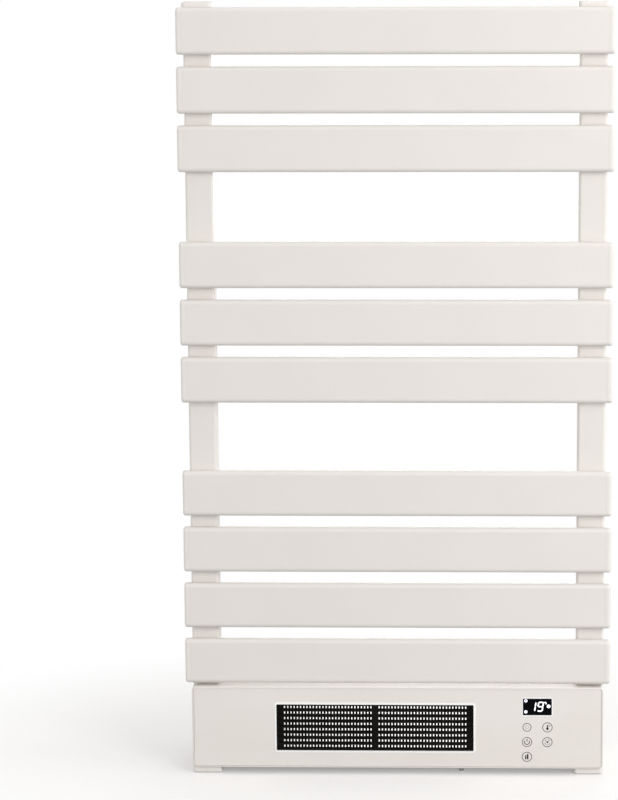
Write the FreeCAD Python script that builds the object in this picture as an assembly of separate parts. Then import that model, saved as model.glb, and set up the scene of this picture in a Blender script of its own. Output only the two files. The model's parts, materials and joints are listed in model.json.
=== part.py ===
"""Towel warmer: flat heated crossbars on two posts, standing on a fan-heater housing.

Millimetres. X runs along the crossbars, -Y is the front and Z is up. The origin is on the floor,
below the middle of the housing.
"""
import FreeCAD
import Part
import math
import os

Vector = FreeCAD.Vector

# Crossbars
BAR_LENGTH = 500.0
BAR_HEIGHT = 53.5
BAR_DEPTH = 12.0
BAR_WALL = 0.8
BAR_RADIUS = 5.0
BAR_PITCH = 67.0
LOWER_BARS = 4  # one pitch is left free above each group
MIDDLE_BARS = 3
UPPER_BARS = 3
BAR_ABOVE_HOUSING = 3.2
BAR_BEHIND_HOUSING = 3.0
END_CAP_FLANGE = 6.0
END_CAP_SPIGOT = 9.0
END_CAP_WALL = 2.0
END_CAP_RADIUS = 3.0
END_CAP_SEAM_RADIUS = 0.35

# Posts and the stems that join them to the housing
POST_WIDTH = 32.0
POST_DEPTH = 30.0
POST_WALL = 1.2
POST_RADIUS = 3.0
POST_FROM_BAR_END = 7.5
POST_CAP_HEIGHT = 5.8
POST_CAP_SPIGOT = 12.0
POST_CAP_RADIUS = 2.5
POST_CAP_OVERHANG = 1.8
STEM_WALL = 3.0
STEM_FLOOR = 8.0
STEM_INTO_POST = 20.0
STEM_SCREW_RISE = 10.0

# Heating strips in the crossbars and their wiring
STRIP_HEIGHT = 34.0
STRIP_THICKNESS = 3.0
STRIP_PAST_LEAD = 5.0
LEAD_RADIUS = 1.8
LEAD_FROM_POST_MIDDLE = 6.5
HARNESS_WIDTH = 6.0
HARNESS_DEPTH = 5.0
HARNESS_PAST_LEAD = 8.0

# Fasteners
FRAME_SCREW_RADIUS = 2.4
FRAME_SCREW_LENGTH = 14.0
SMALL_SCREW_RADIUS = 1.4
SMALL_SCREW_LENGTH = 7.0
HEAD_RADIUS_TO_SHANK = 1.8
HEAD_HEIGHT_TO_SHANK = 1.1
SOCKET_FLOOR_SHARE = 0.4
BAR_INSERT_RADIUS = 4.0
BAR_INSERT_LENGTH = 6.0
WALL_INSERT_BORE = 3.0
WALL_INSERT_RADIUS = 4.5
WALL_INSERT_FLANGE = 6.5
WALL_INSERT_FLANGE_THICKNESS = 1.0
WALL_INSERT_LENGTH = 14.0

# Housing and feet
HOUSING_HEIGHT = 98.5
HOUSING_DEPTH = 120.0
HOUSING_WALL = 2.0
HOUSING_RADIUS = 5.0
RIM_RADIUS = 1.2
FOOT_HEIGHT = 8.0
FOOT_WIDTH = 34.5
FOOT_SETBACK = 4.0
FOOT_RADIUS = 4.0
FOOT_EDGE_RADIUS = 2.5
FOOT_SOLE = 4.0  # under each screw head's seat
REAR_FOOT_SCREW_FROM_REAR = 25.0
BOSS_RADIUS = 4.0
BOSS_HEIGHT = 12.0
TAB_WIDTH = 14.0
TAB_HEIGHT = 7.5
TAB_THICKNESS = 3.0
SIDE_TAB_FROM_POST = 18.0
INNER_TAB_FROM_OUTLET = 20.0

# Front panel, outlet and rear cover
PANEL_RECESS = 0.6
PANEL_THICKNESS = 3.0
PANEL_EDGE_RADIUS = 0.25
PANEL_GAP = 0.2
PANEL_BOSS_LENGTH = 6.0
PANEL_BOSS_RADIUS = 3.2
OUTLET_WIDTH = 232.7
OUTLET_HEIGHT = 56.2
OUTLET_OFFSET = -26.6  # from the middle of the housing
OUTLET_FROM_HOUSING_BOTTOM = 49.0
OUTLET_RADIUS = 1.0
BEZEL_RIM = 2.3
BEZEL_SLEEVE = 1.2
BEZEL_PROUD = 0.5
BEZEL_EDGE_RADIUS = 0.3
GRILLE_RECESS = 1.0
GRILLE_DEPTH = 4.5
GRILLE_FLANGE = 3.0
GRILLE_FLANGE_THICKNESS = 1.5
GRILLE_SIDE = 8.5
GRILLE_DIVIDER = 8.0
GRILLE_POCKET = 2.5
GRILLE_POCKET_WALL = 1.4
GRILLE_ROWS = 8
SLAT_THICKNESS = 2.2
COVER_RECESS = 8.0
COVER_THICKNESS = 2.0
INTAKE_SLOT_WIDTH = 4.0
INTAKE_SLOT_HEIGHT = 54.0
INTAKE_SLOT_PITCH = 9.0

# Ceramic heater
HEATER_DEPTH = 16.0
HEATER_SIDE = 5.0
HEATER_EDGE = 2.5
HEATER_INSET = 1.0
FIN_PITCH = 3.73
FIN_WALL = 1.3
FIN_FOLD = 0.5
CUTOUT_RADIUS = 7.0
CUTOUT_HEIGHT = 5.0
CUTOUT_TAG_HEIGHT = 2.5
CUTOUT_TAG_THICKNESS = 0.8

# Blower and its motor
FAN_RADIUS = 24.0
FAN_INNER_RADIUS = 18.0
FAN_BLADES = 24
FAN_DISCS = 5
FAN_DISC_THICKNESS = 1.5
FAN_BLADE_THICKNESS = 1.0
FAN_BLADE_SWEEP = 16.0  # degrees
FAN_END_GAP = 2.5
FAN_GAP = 3.0
FAN_SHAFT_RADIUS = 3.0
BUSH_RADIUS = 6.0
BUSH_LENGTH = 6.0
BLOWER_SHEET = 1.5
BLOWER_PLATE = 2.0
BLOWER_PLATE_GAP = 6.0
SCROLL_START = 10.0  # degrees above the rear
SCROLL_END = -85.0
TONGUE_ANGLE = 125.0
TONGUE_LIP = 9.0
ROTOR_RADIUS = 11.0
ROTOR_GAP = 0.4
ROTOR_OVERHANG = 1.0
STATOR_THICKNESS = 14.0
STATOR_HALF_WIDTH = 20.0
STATOR_RISE = 18.0
STATOR_DROP = 34.0
STATOR_LEG = 8.0
STATOR_WINDOW_HALF_WIDTH = 12.0
STATOR_WINDOW_HEIGHT = 11.0
COIL_BUILD = 4.5
MOTOR_FROM_PLATE = 12.0
MOTOR_LENGTH = 38.0
BRACKET_SHEET = 1.5
BRACKET_HALF_HEIGHT = 14.0

# Boards, display and touch keys
BOARD_THICKNESS = 1.6
BOARD_FROM_WALLS = 8.0
BOARD_HALF_DEPTH = 29.0
STANDOFF_HEIGHT = 8.0
STANDOFF_RADIUS = 3.2
BOARD_HOLE_FROM_EDGE = 5.0
BOARD_PART_GAP = 6.0
RELAY_WIDTH = 15.0
RELAY_DEPTH = 19.5
RELAY_HEIGHT = 15.0
TRANSFORMER_WIDTH = 24.0
TRANSFORMER_DEPTH = 28.0
TRANSFORMER_HEIGHT = 21.0
CAPACITOR_RADIUS = 7.5
CAPACITOR_HEIGHT = 19.5
COOLER_WIDTH = 22.0
COOLER_DEPTH = 15.0
COOLER_HEIGHT = 15.0
COOLER_FINS = 5
COOLER_BASE = 1.5
DISPLAY_WIDTH = 34.0
DISPLAY_HEIGHT = 20.2
DISPLAY_FROM_SIDE = 77.8
DISPLAY_FROM_TOP = 23.3
DISPLAY_RADIUS = 0.8
KEY_SPACING = 24.0
KEY_PITCH = 18.0
LOWEST_KEY_FROM_BOTTOM = 14.4
KEY_PAD_RADIUS = 4.2
DISPLAY_BOARD_HALF_WIDTH = 24.0
DISPLAY_BOARD_MARGIN = 7.5
DISPLAY_BOSS_RADIUS = 2.6
TERMINAL_WIDTH = 30.0
TERMINAL_HEIGHT = 15.0
TERMINAL_DEPTH = 19.0
TERMINAL_POLES = 4
TERMINAL_HOLE = 2.2
TERMINAL_PAST_HARNESS = 1.0

# Rear rocker switch and cable gland
ROCKER_FROM_SIDE = 92.0
ROCKER_CAP_WIDTH = 10.0
ROCKER_CAP_HALF_HEIGHT = 7.8
ROCKER_CAP_RISE = 4.2
ROCKER_CAP_DIP = 1.0
ROCKER_CAP_DROP = 3.0
ROCKER_TILT = 7.0  # degrees each side of level
ROCKER_PIN_RADIUS = 1.2
ROCKER_PIN_LENGTH = 1.0
ROCKER_ROOM = 0.8
ROCKER_WALL = 1.6
ROCKER_FLANGE = 2.2
ROCKER_FLANGE_THICKNESS = 1.8
ROCKER_DEPTH = 17.0
GLAND_FROM_SIDE = 50.0
GLAND_RISE = 24.0
GLAND_BORE = 4.0
GLAND_BARREL = 6.0
GLAND_HEAD = 8.5
GLAND_HEAD_LENGTH = 6.0
GLAND_BARREL_LENGTH = 12.0
GLAND_NUT_LENGTH = 4.0

# Tip-over switch
TIP_FROM_OUTLET_END = 14.45
TIP_FROM_FRONT = 18.0
TIP_TRAVEL = 4.0
TIP_RADIUS = 2.75
TIP_END_RADIUS = 1.0
TIP_COLLAR_RADIUS = 4.4
TIP_COLLAR_THICKNESS = 1.2
TIP_STEM_RADIUS = 1.6
TIP_SPRING_LENGTH = 4.6
TIP_SPRING_RADIUS = 3.0
TIP_SPRING_WIRE = 0.25
TIP_SPRING_TURNS = 4
TIP_GUIDE_SHEET = 1.2
TIP_GUIDE_HALF_WIDTH = 7.5
TIP_GUIDE_HALF_DEPTH = 5.0
MICROSWITCH_HALF_WIDTH = 4.0
MICROSWITCH_DEPTH = 10.0
LEVER_THICKNESS = 0.5
LEVER_HALF_WIDTH = 2.0

# Fits
SLIDE = 0.2  # parts pushed together once
HOLE_PLAY = 0.25  # clearance hole round a screw or lead
THREAD_PLAY = 0.1
RUNNING = 0.05  # radial, round a turning shaft or pin
MOVING = 0.3  # round a sliding part
NEAR = 1e-4

# Housing faces
HOUSING_WIDTH = BAR_LENGTH - 2 * POST_FROM_BAR_END
HOUSING_SIDE = HOUSING_WIDTH / 2
HOUSING_FRONT = -HOUSING_DEPTH / 2
HOUSING_REAR = HOUSING_DEPTH / 2
HOUSING_BOTTOM = FOOT_HEIGHT
HOUSING_TOP = HOUSING_BOTTOM + HOUSING_HEIGHT
INSIDE_SIDE = HOUSING_SIDE - HOUSING_WALL
INSIDE_BOTTOM = HOUSING_BOTTOM + HOUSING_WALL
INSIDE_TOP = HOUSING_TOP - HOUSING_WALL
INSIDE_RADIUS = HOUSING_RADIUS - HOUSING_WALL

# Rail faces
BAR_FRONT = HOUSING_FRONT + BAR_BEHIND_HOUSING
BAR_REAR = BAR_FRONT + BAR_DEPTH
BAR_END = BAR_LENGTH / 2
BAR_TUBE_END = BAR_END - END_CAP_FLANGE
LOWEST_BAR = HOUSING_TOP + BAR_ABOVE_HOUSING + BAR_HEIGHT / 2
POST_FRONT = BAR_REAR
POST_REAR = POST_FRONT + POST_DEPTH
POST_Y = POST_FRONT + POST_DEPTH / 2
POST_X = HOUSING_SIDE - POST_WIDTH / 2
STEM_HALF_WIDTH = POST_WIDTH / 2 - max(POST_WALL, HOUSING_WALL) - SLIDE
STEM_HALF_DEPTH = POST_DEPTH / 2 - POST_WALL - SLIDE
STEM_TOP = HOUSING_TOP + STEM_INTO_POST
STEM_CAVITY_BOTTOM = INSIDE_BOTTOM + STEM_FLOOR
STRIP_REAR = BAR_FRONT + BAR_WALL + STRIP_THICKNESS
LEAD_X = -POST_X + LEAD_FROM_POST_MIDDLE
HARNESS_FRONT = POST_Y - STEM_HALF_DEPTH + STEM_WALL + HOLE_PLAY
HARNESS_BOTTOM = STEM_CAVITY_BOTTOM + HOLE_PLAY
BAR_INSERT_FRONT = BAR_REAR - BAR_WALL - BAR_INSERT_LENGTH

# Front panel, outlet and rear cover faces
PANEL_FRONT = HOUSING_FRONT + PANEL_RECESS
PANEL_REAR = PANEL_FRONT + PANEL_THICKNESS
FRONT_TAB_FRONT = PANEL_REAR + PANEL_BOSS_LENGTH
FRONT_TAB_REAR = FRONT_TAB_FRONT + TAB_THICKNESS
OUTLET_X = OUTLET_OFFSET
OUTLET_Z = HOUSING_BOTTOM + OUTLET_FROM_HOUSING_BOTTOM
OUTLET_HALF_WIDTH = OUTLET_WIDTH / 2
OUTLET_HALF_HEIGHT = OUTLET_HEIGHT / 2
GRILLE_FRONT = PANEL_FRONT + GRILLE_RECESS
GRILLE_REAR = GRILLE_FRONT + GRILLE_DEPTH
ROW_PITCH = (OUTLET_HEIGHT - SLAT_THICKNESS) / GRILLE_ROWS
COVER_REAR = HOUSING_REAR - COVER_RECESS
COVER_FRONT = COVER_REAR - COVER_THICKNESS
REAR_TAB_FRONT = COVER_FRONT - TAB_THICKNESS
TAB_LEVELS = (INSIDE_BOTTOM, INSIDE_TOP - TAB_HEIGHT)
SIDE_TAB_X = POST_X - POST_WIDTH / 2 - SIDE_TAB_FROM_POST
RIGHT_TAB_X = OUTLET_X + OUTLET_HALF_WIDTH + INNER_TAB_FROM_OUTLET
FRONT_TAB_XS = (-SIDE_TAB_X, OUTLET_X, RIGHT_TAB_X, SIDE_TAB_X + TAB_WIDTH / 2)
REAR_TAB_XS = (-SIDE_TAB_X, OUTLET_X, SIDE_TAB_X)

# Heater, blower and motor faces
HEATER_FRONT = GRILLE_REAR
HEATER_REAR = HEATER_FRONT + HEATER_DEPTH
HEATER_HALF_WIDTH = OUTLET_HALF_WIDTH + HEATER_SIDE
HEATER_TOP = OUTLET_Z + OUTLET_HALF_HEIGHT + HEATER_EDGE
HEATER_BOTTOM = OUTLET_Z - OUTLET_HALF_HEIGHT - HEATER_EDGE
FAN_Y = (HEATER_REAR + COVER_FRONT) / 2
FAN_Z = OUTLET_Z
PLATE_OUTER = HEATER_HALF_WIDTH
PLATE_INNER = PLATE_OUTER - BLOWER_PLATE
PLATE_LEFT = OUTLET_X - PLATE_OUTER
PLATE_RIGHT = OUTLET_X + PLATE_OUTER
FAN_LEFT = OUTLET_X - PLATE_INNER + FAN_END_GAP
FAN_RIGHT = OUTLET_X + PLATE_INNER - FAN_END_GAP
STATOR_RIGHT = PLATE_LEFT - MOTOR_FROM_PLATE
STATOR_LEFT = STATOR_RIGHT - STATOR_THICKNESS
MOTOR_LEFT = PLATE_LEFT - MOTOR_LENGTH

# Board, display and key places
BOARD_LEFT = PLATE_RIGHT + BOARD_FROM_WALLS
BOARD_RIGHT = POST_X - POST_WIDTH / 2 - BOARD_FROM_WALLS
BOARD_BOTTOM = INSIDE_BOTTOM + STANDOFF_HEIGHT
BOARD_TOP = BOARD_BOTTOM + BOARD_THICKNESS
DISPLAY_X = HOUSING_SIDE - DISPLAY_FROM_SIDE
DISPLAY_Z = HOUSING_TOP - DISPLAY_FROM_TOP
DISPLAY_BOARD_FRONT = PANEL_REAR + PANEL_BOSS_LENGTH
LOWEST_KEY = HOUSING_BOTTOM + LOWEST_KEY_FROM_BOTTOM
DISPLAY_BOARD_BOTTOM = LOWEST_KEY - DISPLAY_BOARD_MARGIN
DISPLAY_BOARD_TOP = DISPLAY_Z + DISPLAY_HEIGHT / 2 + DISPLAY_BOARD_MARGIN / 2
TERMINAL_LEFT = -POST_X + STEM_HALF_WIDTH + BOARD_FROM_WALLS
TERMINAL_FRONT = HARNESS_FRONT - TERMINAL_PAST_HARNESS

# Rear rocker and gland places
ROCKER_X = HOUSING_SIDE - ROCKER_FROM_SIDE
ROCKER_Z = (HOUSING_BOTTOM + HOUSING_TOP) / 2
ROCKER_Y = COVER_REAR
ROCKER_ROOM_HALF_WIDTH = ROCKER_CAP_WIDTH / 2 + MOVING
ROCKER_ROOM_HALF_HEIGHT = ROCKER_CAP_HALF_HEIGHT + ROCKER_ROOM
ROCKER_BODY_HALF_WIDTH = ROCKER_ROOM_HALF_WIDTH + ROCKER_WALL
ROCKER_BODY_HALF_HEIGHT = ROCKER_ROOM_HALF_HEIGHT + ROCKER_WALL
GLAND_X = HOUSING_SIDE - GLAND_FROM_SIDE
GLAND_Z = INSIDE_BOTTOM + GLAND_RISE

# Tip-over switch levels
TIP_X = OUTLET_X + OUTLET_HALF_WIDTH - TIP_FROM_OUTLET_END
TIP_Y = HOUSING_FRONT + TIP_FROM_FRONT
TIP_COLLAR_BOTTOM = INSIDE_BOTTOM + TIP_TRAVEL + SLIDE
TIP_COLLAR_TOP = TIP_COLLAR_BOTTOM + TIP_COLLAR_THICKNESS
TIP_ROOF = TIP_COLLAR_TOP + TIP_SPRING_LENGTH
TIP_GUIDE_TOP = TIP_ROOF + TIP_GUIDE_SHEET
TIP_STEM_TOP = TIP_GUIDE_TOP + TIP_GUIDE_SHEET
LEVER_BOTTOM = TIP_STEM_TOP + SLIDE

AXES = {"x": Vector(1, 0, 0), "y": Vector(0, 1, 0), "z": Vector(0, 0, 1)}
SIDES = (-1, 1)


def at(axis, u, v, w):
    """Point at w along an axis, and at u and v along the other two in x, y, z order."""
    if axis == "x":
        return Vector(w, u, v)
    if axis == "y":
        return Vector(u, w, v)
    return Vector(u, v, w)


def block(axis, u0, u1, v0, v1, w0, w1):
    """Square-edged block."""
    low = at(axis, u0, v0, w0)
    size = at(axis, u1, v1, w1) - low
    return Part.makeBox(size.x, size.y, size.z, low)


def edges_at(shape, axis, w):
    """Edges that lie in the plane at w along an axis."""
    found = []
    for edge in shape.Edges:
        places = [AXES[axis].dot(vertex.Point) for vertex in edge.Vertexes]
        if all(abs(place - w) < NEAR for place in places):
            found.append(edge)
    return found


def rounded(axis, u0, u1, v0, v1, w0, w1, radius):
    """Block with the four edges along an axis rounded."""
    solid = block(axis, u0, u1, v0, v1, w0, w1)
    along = []
    for edge in solid.Edges:
        if abs(edge.tangentAt(edge.FirstParameter).dot(AXES[axis])) > 1 - NEAR:
            along.append(edge)
    return solid.makeFillet(radius, along)


def around(axis, u, v, half_u, half_v, w0, w1, radius):
    """Rounded block given by its middle and half sizes across an axis."""
    return rounded(axis, u - half_u, u + half_u, v - half_v, v + half_v, w0, w1, radius)


def rod(axis, u, v, w0, w1, radius):
    """Round bar along an axis."""
    return Part.makeCylinder(radius, w1 - w0, at(axis, u, v, w0), AXES[axis])


def ring(axis, u, v, w0, w1, outer_radius, bore_radius):
    """Round bar with a bore right through it."""
    return rod(axis, u, v, w0, w1, outer_radius).cut(rod(axis, u, v, w0, w1, bore_radius))


def prism(axis, outline, w0, w1):
    """Solid with a straight-sided outline of (u, v) points, from w0 to w1 along an axis."""
    corners = [at(axis, u, v, w0) for u, v in outline]
    face = Part.Face(Part.makePolygon(corners + corners[:1]))
    return face.extrude(AXES[axis] * (w1 - w0))


def hexagon(axis, u, v, w0, w1, radius):
    """Six-sided bar; the radius is to its corners."""
    outline = []
    for corner in range(6):
        angle = math.radians(60 * corner)
        outline.append((u + radius * math.cos(angle), v + radius * math.sin(angle)))
    return prism(axis, outline, w0, w1)


def screw(seat, way, radius, length):
    """Socket screw whose head stands the given way off its seat."""
    height = HEAD_HEIGHT_TO_SHANK * radius
    floor = SOCKET_FLOOR_SHARE * height
    head = rod("z", 0, 0, 0, height, HEAD_RADIUS_TO_SHANK * radius)
    head = head.makeFillet(floor, edges_at(head, "z", height))
    socket = hexagon("z", 0, 0, floor, height, radius)
    solid = head.fuse(rod("z", 0, 0, -length, 0, radius)).cut(socket)
    solid.Placement = FreeCAD.Placement(seat, FreeCAD.Rotation(AXES["z"], way))
    return solid


def bar_levels():
    """Middle height of every crossbar, from the bottom up."""
    levels = []
    level = LOWEST_BAR
    for count in (LOWER_BARS, MIDDLE_BARS, UPPER_BARS):
        for _ in range(count):
            levels.append(level)
            level += BAR_PITCH
        level += BAR_PITCH
    return levels


BAR_LEVELS = bar_levels()
POST_TUBE_TOP = BAR_LEVELS[-1] + BAR_HEIGHT / 2
POST_TOP = POST_TUBE_TOP + POST_CAP_HEIGHT
WALL_INSERT_LEVELS = (BAR_LEVELS[0] + BAR_PITCH / 2, BAR_LEVELS[-1] - BAR_PITCH / 2)
STEM_SCREW_Z = HOUSING_TOP + STEM_SCREW_RISE


def crossbar(level):
    outside = around("x", BAR_FRONT + BAR_DEPTH / 2, level, BAR_DEPTH / 2, BAR_HEIGHT / 2,
                     -BAR_TUBE_END, BAR_TUBE_END, BAR_RADIUS)
    inside = around("x", BAR_FRONT + BAR_DEPTH / 2, level, BAR_DEPTH / 2 - BAR_WALL,
                    BAR_HEIGHT / 2 - BAR_WALL, -BAR_TUBE_END, BAR_TUBE_END, BAR_RADIUS - BAR_WALL)
    tools = [inside, rod("y", LEAD_X, level, BAR_REAR - 2 * BAR_WALL, BAR_REAR, LEAD_RADIUS + HOLE_PLAY)]
    for side in SIDES:
        tools.append(rod("y", side * POST_X, level, BAR_REAR - 2 * BAR_WALL, BAR_REAR,
                         FRAME_SCREW_RADIUS + HOLE_PLAY))
    return outside.cut(tools)


def bar_end_cap(side, level):
    middle = BAR_FRONT + BAR_DEPTH / 2
    ends = sorted((side * BAR_TUBE_END, side * BAR_END))
    flange = around("x", middle, level, BAR_DEPTH / 2, BAR_HEIGHT / 2, ends[0], ends[1], BAR_RADIUS)
    flange = flange.makeFillet(END_CAP_RADIUS, edges_at(flange, "x", side * BAR_END))
    flange = flange.makeFillet(END_CAP_SEAM_RADIUS, edges_at(flange, "x", side * BAR_TUBE_END))
    ends = sorted((side * BAR_TUBE_END, side * (BAR_TUBE_END - END_CAP_SPIGOT)))
    gap = BAR_WALL + SLIDE
    spigot = around("x", middle, level, BAR_DEPTH / 2 - gap, BAR_HEIGHT / 2 - gap, ends[0], ends[1],
                    BAR_RADIUS - gap)
    gap += END_CAP_WALL
    hollow = around("x", middle, level, BAR_DEPTH / 2 - gap, BAR_HEIGHT / 2 - gap, ends[0], ends[1],
                    BAR_RADIUS - gap)
    return flange.fuse(spigot.cut(hollow))


def post(side):
    x = side * POST_X
    outside = around("z", x, POST_Y, POST_WIDTH / 2, POST_DEPTH / 2, HOUSING_TOP, POST_TUBE_TOP, POST_RADIUS)
    inside = around("z", x, POST_Y, POST_WIDTH / 2 - POST_WALL, POST_DEPTH / 2 - POST_WALL, HOUSING_TOP,
                    POST_TUBE_TOP, POST_RADIUS - POST_WALL)
    tools = [inside]
    for level in BAR_LEVELS:
        tools.append(rod("y", x, level, POST_FRONT, POST_REAR, FRAME_SCREW_RADIUS + HOLE_PLAY))
        if side < 0:
            tools.append(rod("y", LEAD_X, level, POST_FRONT, POST_Y, LEAD_RADIUS + HOLE_PLAY))
    for level in WALL_INSERT_LEVELS:
        tools.append(rod("y", x, level, POST_Y, POST_REAR, WALL_INSERT_RADIUS + THREAD_PLAY))
    tools.append(rod("y", x, STEM_SCREW_Z, POST_Y, POST_REAR, FRAME_SCREW_RADIUS + HOLE_PLAY))
    return outside.cut(tools)


def post_cap(side):
    x = side * POST_X
    top = around("z", x, POST_Y, POST_WIDTH / 2 + POST_CAP_OVERHANG, POST_DEPTH / 2 + POST_CAP_OVERHANG,
                 POST_TUBE_TOP, POST_TOP, POST_RADIUS + POST_CAP_OVERHANG)
    top = top.makeFillet(POST_CAP_RADIUS, edges_at(top, "z", POST_TOP))
    gap = POST_WALL + SLIDE
    spigot = around("z", x, POST_Y, POST_WIDTH / 2 - gap, POST_DEPTH / 2 - gap,
                    POST_TUBE_TOP - POST_CAP_SPIGOT, POST_TUBE_TOP, POST_RADIUS - gap)
    gap += END_CAP_WALL
    hollow = block("z", x - POST_WIDTH / 2 + gap, x + POST_WIDTH / 2 - gap, POST_FRONT + gap, POST_REAR - gap,
                   POST_TUBE_TOP - POST_CAP_SPIGOT, POST_TUBE_TOP)
    return top.fuse(spigot.cut(hollow))


def post_stem(side):
    x = side * POST_X
    stem = around("z", x, POST_Y, STEM_HALF_WIDTH, STEM_HALF_DEPTH, INSIDE_BOTTOM, STEM_TOP,
                  POST_RADIUS - POST_WALL)
    cavity = block("z", x - STEM_HALF_WIDTH + STEM_WALL, x + STEM_HALF_WIDTH - STEM_WALL,
                   POST_Y - STEM_HALF_DEPTH + STEM_WALL, POST_Y + STEM_HALF_DEPTH - STEM_WALL,
                   STEM_CAVITY_BOTTOM, STEM_TOP)
    reach = sorted((x, x - side * STEM_HALF_WIDTH))
    doorway = block("x", POST_Y - STEM_HALF_DEPTH + STEM_WALL, POST_Y + STEM_HALF_DEPTH - STEM_WALL,
                    STEM_CAVITY_BOTTOM, STEM_CAVITY_BOTTOM + 2 * HARNESS_WIDTH, reach[0], reach[1])
    thread = rod("z", x, POST_Y, INSIDE_BOTTOM, STEM_CAVITY_BOTTOM, FRAME_SCREW_RADIUS + THREAD_PLAY)
    cross = rod("y", x, STEM_SCREW_Z, POST_Y, POST_REAR, FRAME_SCREW_RADIUS + THREAD_PLAY)
    outer = side * INSIDE_SIDE
    corner = prism("y", [(outer, INSIDE_BOTTOM), (outer - side * INSIDE_RADIUS, INSIDE_BOTTOM),
                         (outer, INSIDE_BOTTOM + INSIDE_RADIUS)], POST_FRONT, POST_REAR)
    return stem.cut([cavity, doorway, thread, cross, corner])


def bar_insert(side, level):
    return ring("y", side * POST_X, level, BAR_INSERT_FRONT, BAR_REAR - BAR_WALL, BAR_INSERT_RADIUS,
                FRAME_SCREW_RADIUS + THREAD_PLAY)


def bar_screw(side, level):
    length = POST_REAR - BAR_INSERT_FRONT
    return screw(Vector(side * POST_X, POST_REAR, level), AXES["y"], FRAME_SCREW_RADIUS, length)


def wall_insert(side, level):
    x = side * POST_X
    flange = rod("y", x, level, POST_REAR, POST_REAR + WALL_INSERT_FLANGE_THICKNESS, WALL_INSERT_FLANGE)
    barrel = rod("y", x, level, POST_REAR - WALL_INSERT_LENGTH, POST_REAR, WALL_INSERT_RADIUS)
    bore = rod("y", x, level, POST_REAR - WALL_INSERT_LENGTH, POST_REAR + WALL_INSERT_FLANGE_THICKNESS,
               WALL_INSERT_BORE)
    return flange.fuse(barrel).cut(bore)


def heating_strip(level):
    return block("x", BAR_FRONT + BAR_WALL, STRIP_REAR, level - STRIP_HEIGHT / 2, level + STRIP_HEIGHT / 2,
                 LEAD_X - STRIP_PAST_LEAD, -LEAD_X + STRIP_PAST_LEAD)


def bar_lead(level):
    return rod("y", LEAD_X, level, STRIP_REAR, HARNESS_FRONT, LEAD_RADIUS)


def harness():
    rear = HARNESS_FRONT + HARNESS_DEPTH
    rise = block("z", LEAD_X - HARNESS_WIDTH / 2, LEAD_X + HARNESS_WIDTH / 2, HARNESS_FRONT, rear,
                 HARNESS_BOTTOM, BAR_LEVELS[-1] + HARNESS_PAST_LEAD)
    tail = block("x", HARNESS_FRONT, rear, HARNESS_BOTTOM, HARNESS_BOTTOM + HARNESS_WIDTH,
                 LEAD_X, TERMINAL_LEFT)
    return rise.fuse(tail).removeSplitter()


def foot_screw_places(side):
    """Where each foot is screwed up to the stem and to the housing."""
    return ((side * POST_X, POST_Y), (side * POST_X, HOUSING_REAR - REAR_FOOT_SCREW_FROM_REAR))


def foot(side):
    ends = sorted((side * HOUSING_SIDE, side * (HOUSING_SIDE - FOOT_WIDTH)))
    solid = rounded("z", ends[0], ends[1], HOUSING_FRONT + FOOT_SETBACK, HOUSING_REAR - FOOT_SETBACK,
                    0, FOOT_HEIGHT, FOOT_RADIUS)
    solid = solid.makeFillet(FOOT_EDGE_RADIUS, edges_at(solid, "z", 0))
    for x, y in foot_screw_places(side):
        solid = solid.cut(rod("z", x, y, 0, FOOT_SOLE, 2 * FRAME_SCREW_RADIUS))
        solid = solid.cut(rod("z", x, y, 0, FOOT_HEIGHT, FRAME_SCREW_RADIUS + HOLE_PLAY))
    return solid


def frame_screws():
    solids = []
    for side in SIDES:
        for x, y in foot_screw_places(side):
            solids.append(screw(Vector(x, y, FOOT_SOLE), -AXES["z"], FRAME_SCREW_RADIUS, FRAME_SCREW_LENGTH))
        seat = Vector(side * POST_X, POST_REAR, STEM_SCREW_Z)
        solids.append(screw(seat, AXES["y"], FRAME_SCREW_RADIUS, FRAME_SCREW_LENGTH))
    return solids


def tab(x, level, front):
    return block("y", x - TAB_WIDTH / 2, x + TAB_WIDTH / 2, level, level + TAB_HEIGHT, front,
                 front + TAB_THICKNESS)


def front_tab_places():
    return [(x, level + TAB_HEIGHT / 2) for x in FRONT_TAB_XS for level in TAB_LEVELS]


def rear_tab_places():
    return [(x, level + TAB_HEIGHT / 2) for x in REAR_TAB_XS for level in TAB_LEVELS]


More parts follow.
